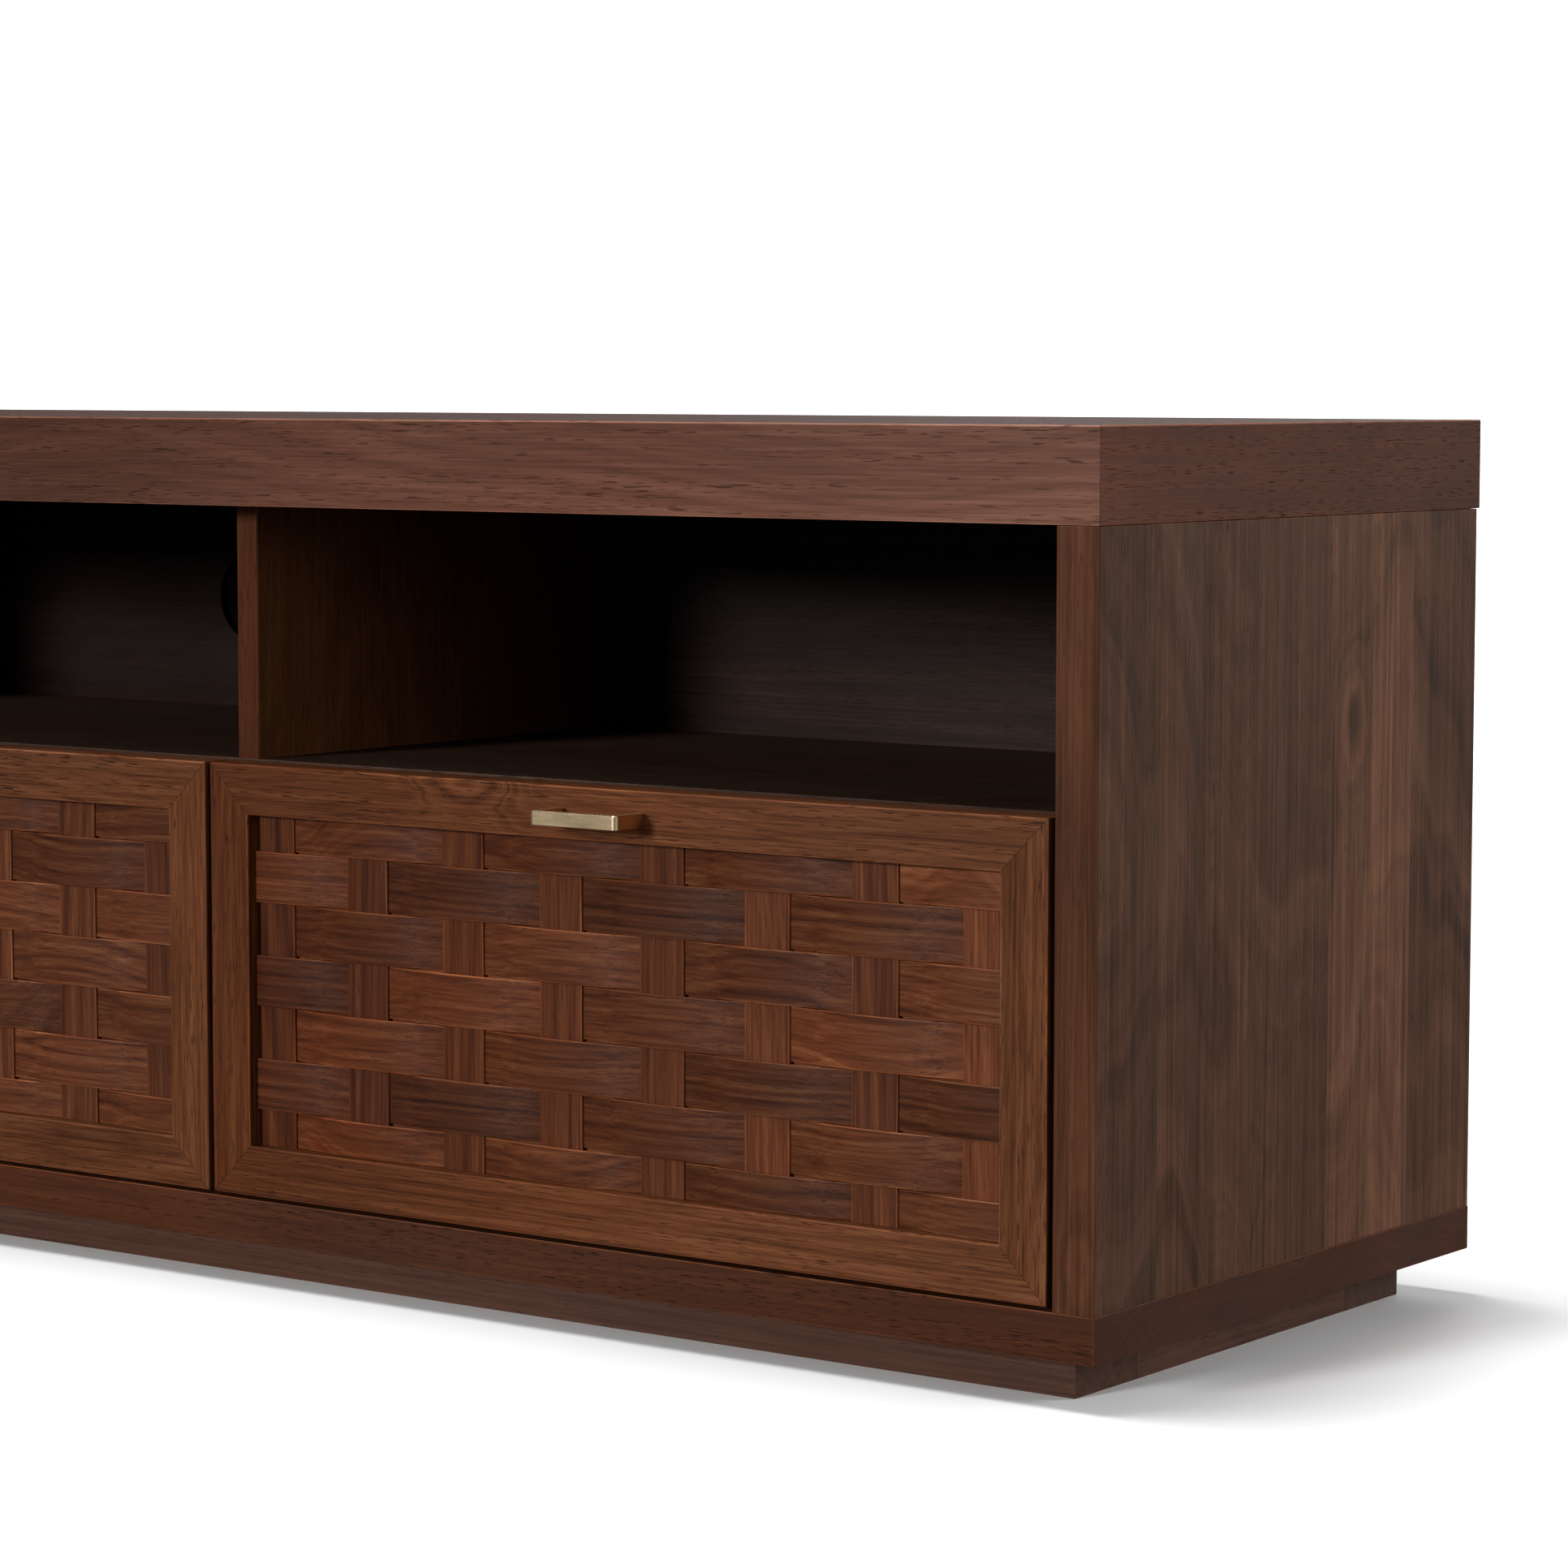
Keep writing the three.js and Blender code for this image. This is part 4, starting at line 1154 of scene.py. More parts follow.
@dataclass
class Carcass:
    """The fixed boards: top, sides, base, shelf, dividers, backs and plinth.

    Attributes:
        arris: The radius of the boards' edges.
        skin_arris: The radius of the top's folded edges.
        plain_arris: The same of the plinth's boards.
        seam: The width of the hairline where two folded boards meet.
        hole: The cable hole's radius.
        hole_arris: The slope round its front edge.
        hole_sides: Facets round it.
        band: The thickness of the bands on the uprights' front edges.
        shadow_gap: The dark line between the sides and the top.
        knot: How far behind the front and over the foot of a side its knot lies.
        knot_reach: How far the knot's swirl reaches along and across the grain.
        thin_arris: The radius of the inner boards' edges.
        shelf_arris: The radius of the shelf's edges.
        bay_mouth: How far behind a divider's front the painted shade of the bay begins.
        edge_tint: The tint of the bands on the sides' edges.
        divider_edge_tint: The tint of the bands on the dividers' edges.
        divider_shade_tints: The painted shade on the dividers' faces, paler in front and darker at the back.
        base_tint: The tint of the base.
        shelf_shade_tint: The tint of the shelf, painted shade that darkens it.
        top_shade_tint: The painted shade that darkens the top's upper face under the light from above.
    """

    arris: float = 0.7 * MM
    skin_arris: float = 1.1 * MM
    plain_arris: float = 0.4 * MM
    seam: float = 0.3 * MM
    hole: float = 30 * MM
    hole_arris: float = 0.6 * MM
    hole_sides: int = 64
    band: float = 0.9 * MM
    shadow_gap: float = 0.25 * MM
    knot: tuple[float, float] = (260 * MM, 290 * MM)
    knot_reach: tuple[float, float] = (60 * MM, 26 * MM)
    thin_arris: float = 0.3 * MM
    shelf_arris: float = 0.35 * MM
    bay_mouth: float = 50 * MM
    edge_tint: Colour = (0.70, 0.58, 0.49)
    divider_edge_tint: Colour = (0.53, 0.31, 0.095)
    divider_shade_tints: tuple[Colour, Colour] = ((1.0, 0.85, 0.45), (0.4, 0.25, 0.18))
    base_tint: Colour = (0.54, 0.34, 0.14)
    shelf_shade_tint: Colour = (0.40, 0.45, 0.42)
    top_shade_tint: Colour = (0.42, 0.37, 0.34)

    def build(self, shop: Workshop) -> None:
        """Makes every fixed board."""
        self.build_top(shop)
        long, wide = self.knot_reach
        for node in ("left_side_panel", "right_side_panel"):
            low, _ = corners_of(node)
            place = (0.0, low[1] + self.knot[0], low[2] + self.knot[1])
            swirl, edge = Knot(place, (2, long), (1, wide)), Fade((self.edge_tint,))
            shop.banded_board(node, self.arris, self.band, Fade(), edge, swirl, self.shadow_gap)
        shop.board("base_panel", Grain.ALONG_X_FACE_UP, self.arris, Fade((self.base_tint,)))
        # Painted shade: the shelf is darkened where it lies in the shade of the bays and the doors.
        shop.board("shelf_board", Grain.ALONG_X_FACE_UP, self.shelf_arris, Fade((self.shelf_shade_tint,)))
        edge = Fade((self.divider_edge_tint,))
        for level in ("upper", "lower"):
            for side in ("left", "right"):
                node = f"{level}_{side}_divider"
                low, high = corners_of(node)
                # Painted shade: each divider's faces darken from the bay's mouth towards the back.
                depth = Fade(self.divider_shade_tints, (low[1] + self.bay_mouth, high[1]), 1)
                shop.banded_board(node, self.arris, self.band, depth, edge)
        for node in ("plinth_front", "plinth_back"):
            shop.board(node, Grain.ALONG_X_FACE_FRONT, self.plain_arris)
        for node in ("plinth_left", "plinth_right", "plinth_centre"):
            shop.board(node, Grain.ALONG_Y_FACE_SIDE, self.plain_arris)
        shop.board("lower_back_panel", Grain.ALONG_X_FACE_FRONT, self.thin_arris)
        self.build_holed_back(shop)

    def build_top(self, shop: Workshop) -> None:
        """The hollow top: three fascias folded up to the panel, with the board and rail inside."""
        node = "top_panel"
        _, high = corners_of(node)
        front_low, front_high = corners_of("top_front_fascia")
        skin = float(front_high[1] - front_low[1])
        self.build_front_fascia(shop, skin)
        self.build_end_fascia(shop, "top_left_fascia", skin)
        self.build_end_fascia(shop, "top_right_fascia", skin)
        inset = self.skin_arris + self.seam
        outer_low = np.array([front_low[0] + inset, front_low[1] + inset, high[2] - skin])
        outer_high = np.array([front_high[0] - inset, high[1], high[2]])
        panel = self.folded_panel(outer_low, outer_high, skin)
        # Painted shade: the top's upper face is darkened against the light that falls on it from above.
        tint = Fade((self.top_shade_tint,))
        shop.fixed(node + "_board", panel, node, Grain.ALONG_X_FACE_UP, fade=tint)
        shop.board("top_underboard", Grain.ALONG_X_FACE_UP, self.thin_arris)
        shop.board("top_back_rail", Grain.ALONG_X_FACE_FRONT, self.plain_arris)

    def folded_panel(self, low: np.ndarray, high: np.ndarray, skin: float) -> Shell:
        """The top panel: a slab whose front and end edges slope inwards at 45 degrees.

        Ring k lies at height z_k and is the outer rectangle drawn in by the depth below the top.

        Args:
            low: The outer rectangle's low corner and the slab's underside.
            high: The outer rectangle's high corner and the slab's upper face.
            skin: The slab's thickness.

        Returns:
            The shell.
        """
        rings = []
        for depth in (skin, 0.0):
            x0, x1 = low[0] + depth, high[0] - depth
            y0, y1 = low[1] + depth, high[1]
            z = high[2] - depth
            rings.append([(x0, y0, z), (x1, y0, z), (x1, y1, z), (x0, y1, z)])
        points = np.array(rings)
        sides = unit(np.array([(0, -1, -1), (1, 0, -1), (0, 1, 0), (-1, 0, -1)], float))
        return Shell.from_grid(points, np.broadcast_to(sides[None, :, None], (1, 4, 4, 3)))

    def fascia_section(self, skin: float) -> Outline:
        """A fascia's section: a rounded outer arris, and an inner side that slopes to the folded seam."""
        low, high = corners_of("top_front_fascia")
        height, crown, foot = high[2] - low[2], self.skin_arris, 0.6 * MM
        corners = [(0.0, 0.0), (skin, 0.0), (skin, height - skin), (crown, height), (0.0, height)]
        return Outline.rounded(corners, [foot, 0.0, 0.0, 0.0, crown], 4)

    def build_front_fascia(self, shop: Workshop, skin: float) -> None:
        """The front fascia, mitred at both ends. It is painted paler from the middle to the right, a painted
        sheen and pool of light.
        """
        node = "top_front_fascia"
        low, high = corners_of(node)
        outline = self.fascia_section(skin)
        placing = Placing(np.array([(low[0] + high[0]) / 2, low[1], low[2]]), AXES[0], AXES[1], AXES[2])
        end = (high[0] - low[0]) / 2 - outline.points[:, 0] - self.seam / 2
        # Painted light: the tints climb from the left to the right end, a painted sheen and pool of light.
        changes = (-0.20, 0.22, 0.58)
        tints = (
            (0.75, 0.65, 0.58), (0.70, 0.60, 0.52), (0.66, 0.55, 0.45), (1.12, 1.02, 0.93), (1.42, 1.46, 1.46)
        )
        fade = Fade(tints, (float(low[0]), *changes, float(high[0])))
        rings = [-end, *(np.full(len(end), at) for at in changes), end]
        shell = straight_bar([outline] * len(rings), rings, placing)
        shop.fixed(node + "_board", shell, node, Grain.ALONG_X_FACE_FRONT, fade=fade)

    def build_end_fascia(self, shop: Workshop, node: str, skin: float) -> None:
        """An end fascia, mitred to the front one and square at the back."""
        low, high = corners_of(node)
        front_low, _ = corners_of("top_front_fascia")
        right = node == "top_right_fascia"
        outline = self.fascia_section(skin)
        origin = np.array([high[0] if right else low[0], front_low[1], front_low[2]])
        placing = Placing(origin, AXES[1], -AXES[0] if right else AXES[0], AXES[2])
        inward = outline.points[:, 0]
        rings = [inward + self.seam / 2, np.full(len(inward), high[1] - front_low[1])]
        shell = straight_bar([outline] * len(rings), rings, placing)
        # Painted light and shade: the end fascia is paler at the front and darker towards the back.
        fade = Fade(((1.05, 0.72, 0.48), (0.66, 0.50, 0.36)), (low[1], high[1]), 1)
        shop.fixed(node + "_board", shell, node, Grain.ALONG_Y_FACE_SIDE, fade=fade)

    def build_holed_back(self, shop: Workshop) -> None:
        """The upper back panel: a ring of rays from the cable hole's edge to the panel's own edges.

        A point at angle t and share s lies s of the way from the hole's circle to where the ray at
        angle t meets the rectangle.
        """
        node = "upper_back_panel"
        low, high = corners_of(node)
        centre = cable_hole()[[0, 2]]
        width_low, width_high = low[[0, 2]] - centre, high[[0, 2]] - centre
        x_sides, z_sides = (width_low[0], width_high[0]), (width_low[1], width_high[1])
        corner_angles = [math.atan2(z, x) for x in x_sides for z in z_sides]
        even = np.linspace(-math.pi, math.pi, self.hole_sides, endpoint=False)
        t = np.unique(np.round(np.concatenate([even, corner_angles]), 9))
        ray = np.stack([np.cos(t), np.sin(t)], axis=-1)
        reach = np.where(ray > 0, width_high, -width_low) / np.maximum(np.abs(ray), 1e-9)
        outer = ray * reach.min(axis=1)[:, None]
        bore, mouth = ray * self.hole, ray * (self.hole + self.hole_arris)
        thick = high[1] - low[1]
        layers = (
            (bore, self.hole_arris), (mouth, 0.0), (outer, 0.0), (outer, thick), (bore, thick),
            (bore, self.hole_arris),
        )
        rings = [standing(flat + centre, low[1] + depth) for flat, depth in layers]
        radial = standing(ray, 0.0)
        normals = []
        for share, depth in ((-0.7, -0.7), (0.0, -1.0), (1.0, 0.0), (0.0, 1.0), (-1.0, 0.0)):
            n = unit(share * radial + depth * AXES[1])
            ahead = np.roll(n, -1, axis=0)
            normals.append(np.stack([n, ahead, ahead, n], axis=1))
        shell = Shell.from_grid(np.stack(rings), np.stack(normals), caps=False)
        # Painted light and shade: dark across the left and middle bays, paler and greyer towards the right
        # end, where light and sheen fall on it.
        fade = Fade(((0.24, 0.18, 0.15), (0.23, 0.14, 0.10), (0.56, 0.57, 0.58)), (-0.6, 0.1, 0.7))
        shop.fixed(node + "_board", shell, node, Grain.ALONG_X_FACE_FRONT, fade=fade)


# ---- The doors ----------------------------------------------------------------------------


@dataclass
class WovenDoor:
    """One drop-down door: four mitred frame members, the woven strips and their board, and a pull.

    Attributes:
        bay: Which bay the door closes.
        arris: The radius of the frame's front edges.
        back_arris: The radius of its back edges.
        seam: The hairline in the mitres.
        notch: The hinge notches: how far behind the front they start, how far they reach in from the
            door's edge, and half their width.
        lip: The frame's thickness in front of the rebate.
        rebate: How far the rebate is cut into the frame.
        level_pitch: Spacing of the level strips.
        upright_pitch: Spacing of the upright strips.
        strip: Width of a strip.
        strip_thickness: Thickness of a strip.
        upright_depth: The upright strips' faces behind the frame's front.
        crest_depth: The level strips' faces behind the front, over a hidden upright strip.
        dive_depth: The same where they pass behind an upright strip.
        play: How much shorter a strip is than the frame's opening, at each end.
        strap: The pull's thickness.
        bend: The outer radius of its corners.
        swirls: For some bays, the distance of a swirl in the top rail's grain from the middle.
        low: The door's lowest corner, taken from the frame.
        high: Its highest corner.
    """

    bay: str
    arris: float = 1.1 * MM
    back_arris: float = 0.5 * MM
    seam: float = 0.3 * MM
    notch: tuple[float, float, float] = (2.2 * MM, 11.4 * MM, 6 * MM)
    lip: float = 12 * MM
    rebate: float = 8 * MM
    level_pitch: float = 30 * MM
    upright_pitch: float = 70 * MM
    strip: float = 29.5 * MM
    strip_thickness: float = 2.2 * MM
    upright_depth: float = 8.4 * MM
    crest_depth: float = 5.3 * MM
    dive_depth: float = 10.3 * MM
    play: float = 0.1 * MM
    strap: float = 5 * MM
    bend: float = 3 * MM
    swirls: dict[str, float] = field(default_factory=lambda: {"right": -94 * MM, "left": 140 * MM})
    low: np.ndarray = field(init=False)
    high: np.ndarray = field(init=False)

    def __post_init__(self) -> None:
        """Takes the door's box from its frame members."""
        self.body = f"{self.bay}_door"
        parts = ("left_stile", "right_stile", "top_rail", "bottom_rail")
        boxes = [corners_of(f"{self.body}_{part}") for part in parts]
        self.low = np.min([low for low, _ in boxes], axis=0)
        self.high = np.max([high for _, high in boxes], axis=0)
        self.middle = (self.low + self.high) / 2
        rail_low, rail_high = corners_of(f"{self.body}_top_rail")
        self.member = float(rail_high[2] - rail_low[2])

    def build(self, shop: Workshop) -> None:
        """Makes all the door's pieces."""
        self.build_frame(shop)
        self.build_panel(shop)
        self.build_handle(shop)

    def section(self) -> Outline:
        """A frame member's section: inwards from the outer edge, and back from the front face."""
        wide, lip, cut = self.member, self.lip, self.member - self.rebate
        thick = float(self.high[1] - self.low[1])
        start, inwards, _ = self.notch
        corners = [
            (0.0, 0.0), (wide, 0.0), (wide, lip), (cut, lip), (cut, thick), (inwards, thick), (0.0, thick),
            (0.0, start),
        ]
        radii = [self.arris, self.arris, 0.0, 0.0, self.back_arris, 0.0, 0.0, 0.0]
        return Outline.rounded(corners, radii, 4)

    def notched(self, outline: Outline) -> Outline:
        """The same section with its outer back corner drawn in to the hinge notch."""
        points = outline.points.copy()
        points[-2] = (points[-3][0], points[-1][1])
        normals = outline.normals.copy()
        normals[[-3, -2]] = edge_normals(points)[[-3, -2], None]
        return Outline(points, normals, outline.arris)

    def build_frame(self, shop: Workshop) -> None:
        """The four members. Each is the section run along its edge, with 45 degree ends."""
        outline = self.section()
        half = (self.high - self.low) / 2
        x, front, z = self.middle[0], self.low[1], self.middle[2]
        level = (AXES[0], half[0], Grain.ALONG_X_FACE_FRONT)
        upright = (AXES[2], half[2], Grain.ALONG_Z_FACE_FRONT)
        runs = {
            "top_rail": ((x, front, self.high[2]), -AXES[2], level),
            "bottom_rail": ((x, front, self.low[2]), AXES[2], level),
            "left_stile": ((self.low[0], front, z), AXES[0], upright),
            "right_stile": ((self.high[0], front, z), -AXES[0], upright),
        }
        for part, (origin, inwards, (along, reach, grain)) in runs.items():
            node = f"{self.body}_{part}"
            end = reach - outline.points[:, 0] - self.seam / 2
            sections, lengths = [outline, outline], [-end, end]
            if part == "bottom_rail":
                sections, lengths = self.with_notches(outline, end)
            shell = straight_bar(sections, lengths, Placing(np.array(origin), along, inwards, AXES[1]))
            knot = self.rail_knot() if part == "top_rail" else None
            slot = shop.slots[node]
            shop.make(f"{node}_member", shell, slot, self.body, (node,), grain, knot=knot, fade=self.fade())

    def fade(self) -> Fade:
        """The door is painted a little paler to the right, a painted sheen and pool of light."""
        return Fade(((0.72, 0.58, 0.42), (1.0, 0.99, 0.98)), (self.low[0], self.high[0]))

    def rail_knot(self) -> "Knot | None":
        """The swirl at the upper edge of a top rail."""
        if self.bay not in self.swirls:
            return None
        place = (self.middle[0] + self.swirls[self.bay], 0.0, self.high[2] + 5 * MM)
        return Knot(place, (0, 66 * MM), (2, 38 * MM))

    def with_notches(self, outline: Outline, end: np.ndarray) -> tuple[list[Outline], list[np.ndarray]]:
        """Steps the bottom rail's section in and out of its two hinge notches.

        Args:
            outline: The full section.
            end: The mitred end's distance from the middle, for every point of the section.

        Returns:
            The sections and the lengths of the rings.
        """
        notched = self.notched(outline)
        half_width = self.notch[2]
        sections, lengths = [outline], [-end]
        for side in ("left", "right"):
            centre = middle_of(f"{self.body}_{side}_hinge_leaf")[0] - self.middle[0]
            for edge, pair in ((-half_width, (outline, notched)), (half_width, (notched, outline))):
                sections += pair
                lengths += [np.full(len(outline.points), centre + edge)] * 2
        return sections + [outline], lengths + [end]

    def build_panel(self, shop: Workshop) -> None:
        """The board in the rebate and the strips woven in front of it."""
        node = f"{self.body}_woven_panel"
        low, high = corners_of(node)
        board = rounded_box((low[0], self.low[1] + self.lip, low[2]), high, 0.3 * MM)
        name = f"{self.body}_panel_board"
        shop.make(name, board, shop.slots[node], self.body, (node,), Grain.ALONG_X_FACE_FRONT)
        half = (self.high - self.low) / 2 - self.member
        half_x, half_z = float(half[0]), float(half[2])
        uprights = self.centres(self.upright_pitch, self.upright_pitch / 2, half_x)
        levels = self.centres(self.level_pitch, 0.0, half_z)
        self.build_uprights(shop, uprights, half_x, half_z)
        self.build_levels(shop, levels, uprights, half_x, half_z)

    def centres(self, pitch: float, first: float, limit: float) -> np.ndarray:
        """Strip centres both sides of the middle, out to the last that still shows."""
        at = np.arange(first, limit + self.strip / 2 - MM, pitch)
        return np.unique(np.round(np.concatenate([-at, at]), 6))

    def strip_shell(self, path: np.ndarray, centre: float, limit: float, placing: Placing) -> Shell:
        """One strip: a thin rounded section, cut where the frame covers it, run along its path."""
        first = max(centre - self.strip / 2, -limit + self.play)
        last = min(centre + self.strip / 2, limit - self.play)
        section = Outline.rectangle((first, 0.0), (last, self.strip_thickness), 0.8 * MM)
        return bent_strip(path, section, placing)

    def weave(
        self, shop: Workshop, run: str, shells: list[Shell], grains: list[np.ndarray], tones: list[np.ndarray]
    ) -> None:
        """Makes one piece of all the strips that run the same way.

        Args:
            shop: Makes the piece.
            run: Which way the strips run, for the piece's name.
            shells: One shell per strip.
            grains: Their grain coordinates.
            tones: Their tones.
        """
        node = f"{self.body}_woven_panel"
        shell, grain, tone = Shell.joined(shells), np.concatenate(grains), np.concatenate(tones)
        name = f"{self.body}_{run}_strips"
        shop.make(name, shell, shop.slots[node], self.body, (node,), grain, tone, fade=self.fade())

    def build_uprights(self, shop: Workshop, uprights: np.ndarray, half_x: float, half_z: float) -> None:
        """The upright strips, nearly flat, each from its own part of the veneer.

        The depth at height z is the upright depth plus the sway times the sine of z over its length.
        """
        sway, sway_length = 0.12 * MM, 11 * MM
        shells, grains, tones = [], [], []
        z = np.linspace(-half_z + self.play, half_z - self.play, 41)
        origin = np.array([self.middle[0], self.low[1], self.middle[2]])
        placing = Placing(origin, AXES[2], AXES[0], AXES[1])
        for x in uprights:
            depth = self.upright_depth + sway * np.sin(z / sway_length + shop.chance.uniform(0, 6))
            aside = shop.chance.uniform(-0.3, 0.3) * MM
            shell = self.strip_shell(np.stack([z, depth], axis=-1), x + aside, half_x, placing)
            shells.append(shell)
            grains.append(shop.grain_of(shell.points, Grain.ALONG_Z_FACE_FRONT))
            tones.append(np.full(len(shell.points), shop.chance.uniform(0.25, 0.95)))
        self.weave(shop, "upright", shells, grains, tones)

    def build_levels(
        self, shop: Workshop, levels: np.ndarray, uprights: np.ndarray, half_x: float, half_z: float
    ) -> None:
        """The level strips, which rise over every second upright strip and pass behind the others.

        With c the cosine of pi times the distance from a hidden strip over the upright pitch, the
        depth is the mean of crest and dive, less half their difference times c, flattened a little
        towards its ends. Each stretch between two dives is cut from another part of the veneer.
        """
        flattening, stretches, jump = 0.8, 12, 0.35
        mean, rise = (self.crest_depth + self.dive_depth) / 2, (self.dive_depth - self.crest_depth) / 2
        shells, grains, tones = [], [], []
        origin = np.array([self.middle[0], self.low[1], self.middle[2]])
        placing = Placing(origin, AXES[0], AXES[2], AXES[1])
        x = np.linspace(-half_x + self.play, half_x - self.play, 181)
        for row, z in enumerate(levels):
            hidden = uprights[(row + 1) % 2]
            swing = np.cos(math.pi * (x - hidden) / self.upright_pitch)
            depth = mean - rise * np.sign(swing) * np.abs(swing) ** flattening
            aside = shop.chance.uniform(-0.2, 0.2) * MM
            shell = self.strip_shell(np.stack([x, depth], axis=-1), z + aside, half_z, placing)
            from_hidden = shell.points[:, 0] - self.middle[0] - hidden
            stretch = np.floor(from_hidden / (2 * self.upright_pitch) + 0.5).astype(int)
            grain = shop.grain_of(shell.points, Grain.ALONG_X_FACE_FRONT)
            tone = shop.chance.uniform(0.0, 1.0, stretches)[stretch % stretches]
            grain[:, 1] += jump * tone
            shells.append(shell)
            grains.append(grain)
            tones.append(tone)
        self.weave(shop, "level", shells, grains, tones)

    def build_handle(self, shop: Workshop) -> None:
        """The pull: a flat strap run along a U with rounded corners."""
        node = f"{self.body}_handle"
        low, high = corners_of(node)
        half, reach = (high[0] - low[0]) / 2, high[1] - low[1]
        mid, near = self.strap / 2, 0.3 * MM
        inner = self.bend - mid
        quarter = np.linspace(0.0, math.pi / 2, 9)
        bend_x, bend_y = half - self.bend, self.bend - reach
        corner = np.stack([bend_x + inner * np.sin(quarter), bend_y - inner * np.cos(quarter)], -1)
        before = [bend_x - near, mid - reach]
        after = [[half - mid, bend_y + near], [half - mid, 0.0]]
        right = np.vstack([before, corner, after])
        path = np.vstack([right[::-1] * (-1.0, 1.0), right])
        section = Outline.rectangle((low[2] - high[2], -mid), (0.0, mid), 0.55 * MM)
        placing = Placing(np.array([(low[0] + high[0]) / 2, high[1], high[2]]), AXES[0], AXES[2], AXES[1])
        shell = bent_strip(path, section, placing)
        shop.make(f"{self.body}_pull", shell, shop.slots[node], self.body, (node,))


# ---- Fittings -----------------------------------------------------------------------------


@dataclass
class DoorFittings:
    """What is screwed to a door's back: the pull's screws, the catch's strike plate and the leaf screws.

    Attributes:
        bay: The door's bay.
        pull_screw: The radius and height of the pull's screw heads.
        pull_inset: How far from the pull's ends its screws are.
        strike: The strike plate's half width, half height and thickness.
        strike_screw: The radius and height of its screw heads.
        strike_step: How far they are from its middle.
        leaf_screw: The radius and height of the hinge leaves' screw heads.
        leaf_thickness: The thickness of a leaf.
        leaf_step: How far its screws are from its middle.
        leaf_drop: How far they are below its upper edge.
    """

    bay: str
    pull_screw: tuple[float, float] = (4.2 * MM, 1.5 * MM)
    pull_inset: float = 2.5 * MM
    strike: tuple[float, float, float] = (17 * MM, 5.5 * MM, 0.8 * MM)
    strike_screw: tuple[float, float] = (2.9 * MM, 0.5 * MM)
    strike_step: float = 10 * MM
    leaf_screw: tuple[float, float] = (2.9 * MM, 0.9 * MM)
    leaf_thickness: float = 1.5 * MM
    leaf_step: float = 7 * MM
    leaf_drop: float = 9 * MM

    def build(self, shop: Workshop) -> None:
        """Makes the strike plate and the screws."""
        body = f"{self.bay}_door"
        low, high = corners_of(f"{body}_handle")
        _, (_, back, _) = corners_of(f"{body}_top_rail")
        x, _, z = middle_of(f"{body}_handle")
        ends = (low[0] + self.pull_inset, high[0] - self.pull_inset)
        heads = [screw_head(np.array([end, back, z]), 1, *self.pull_screw) for end in ends]
        half_x, half_z, thick = self.strike
        z = middle_of(f"{body}_catch")[2]
        plate = rounded_box((x - half_x, back, z - half_z), (x + half_x, back + thick, z + half_z), 0.3 * MM)
        shop.make(f"{body}_strike_plate", plate, "zinc_steel", body)
        for step in (-self.strike_step, self.strike_step):
            heads.append(screw_head(np.array([x + step, back + thick, z]), 1, *self.strike_screw))
        for side in ("left", "right"):
            node = f"{body}_{side}_hinge_leaf"
            _, (_, _, top) = corners_of(node)
            for step in (-self.leaf_step, self.leaf_step):
                seat = (middle_of(node)[0] + step, back + self.leaf_thickness, top - self.leaf_drop)
                heads.append(screw_head(np.array(seat), 1, *self.leaf_screw))
        shop.make(f"{body}_screws", Shell.joined(heads), "zinc_steel", body)


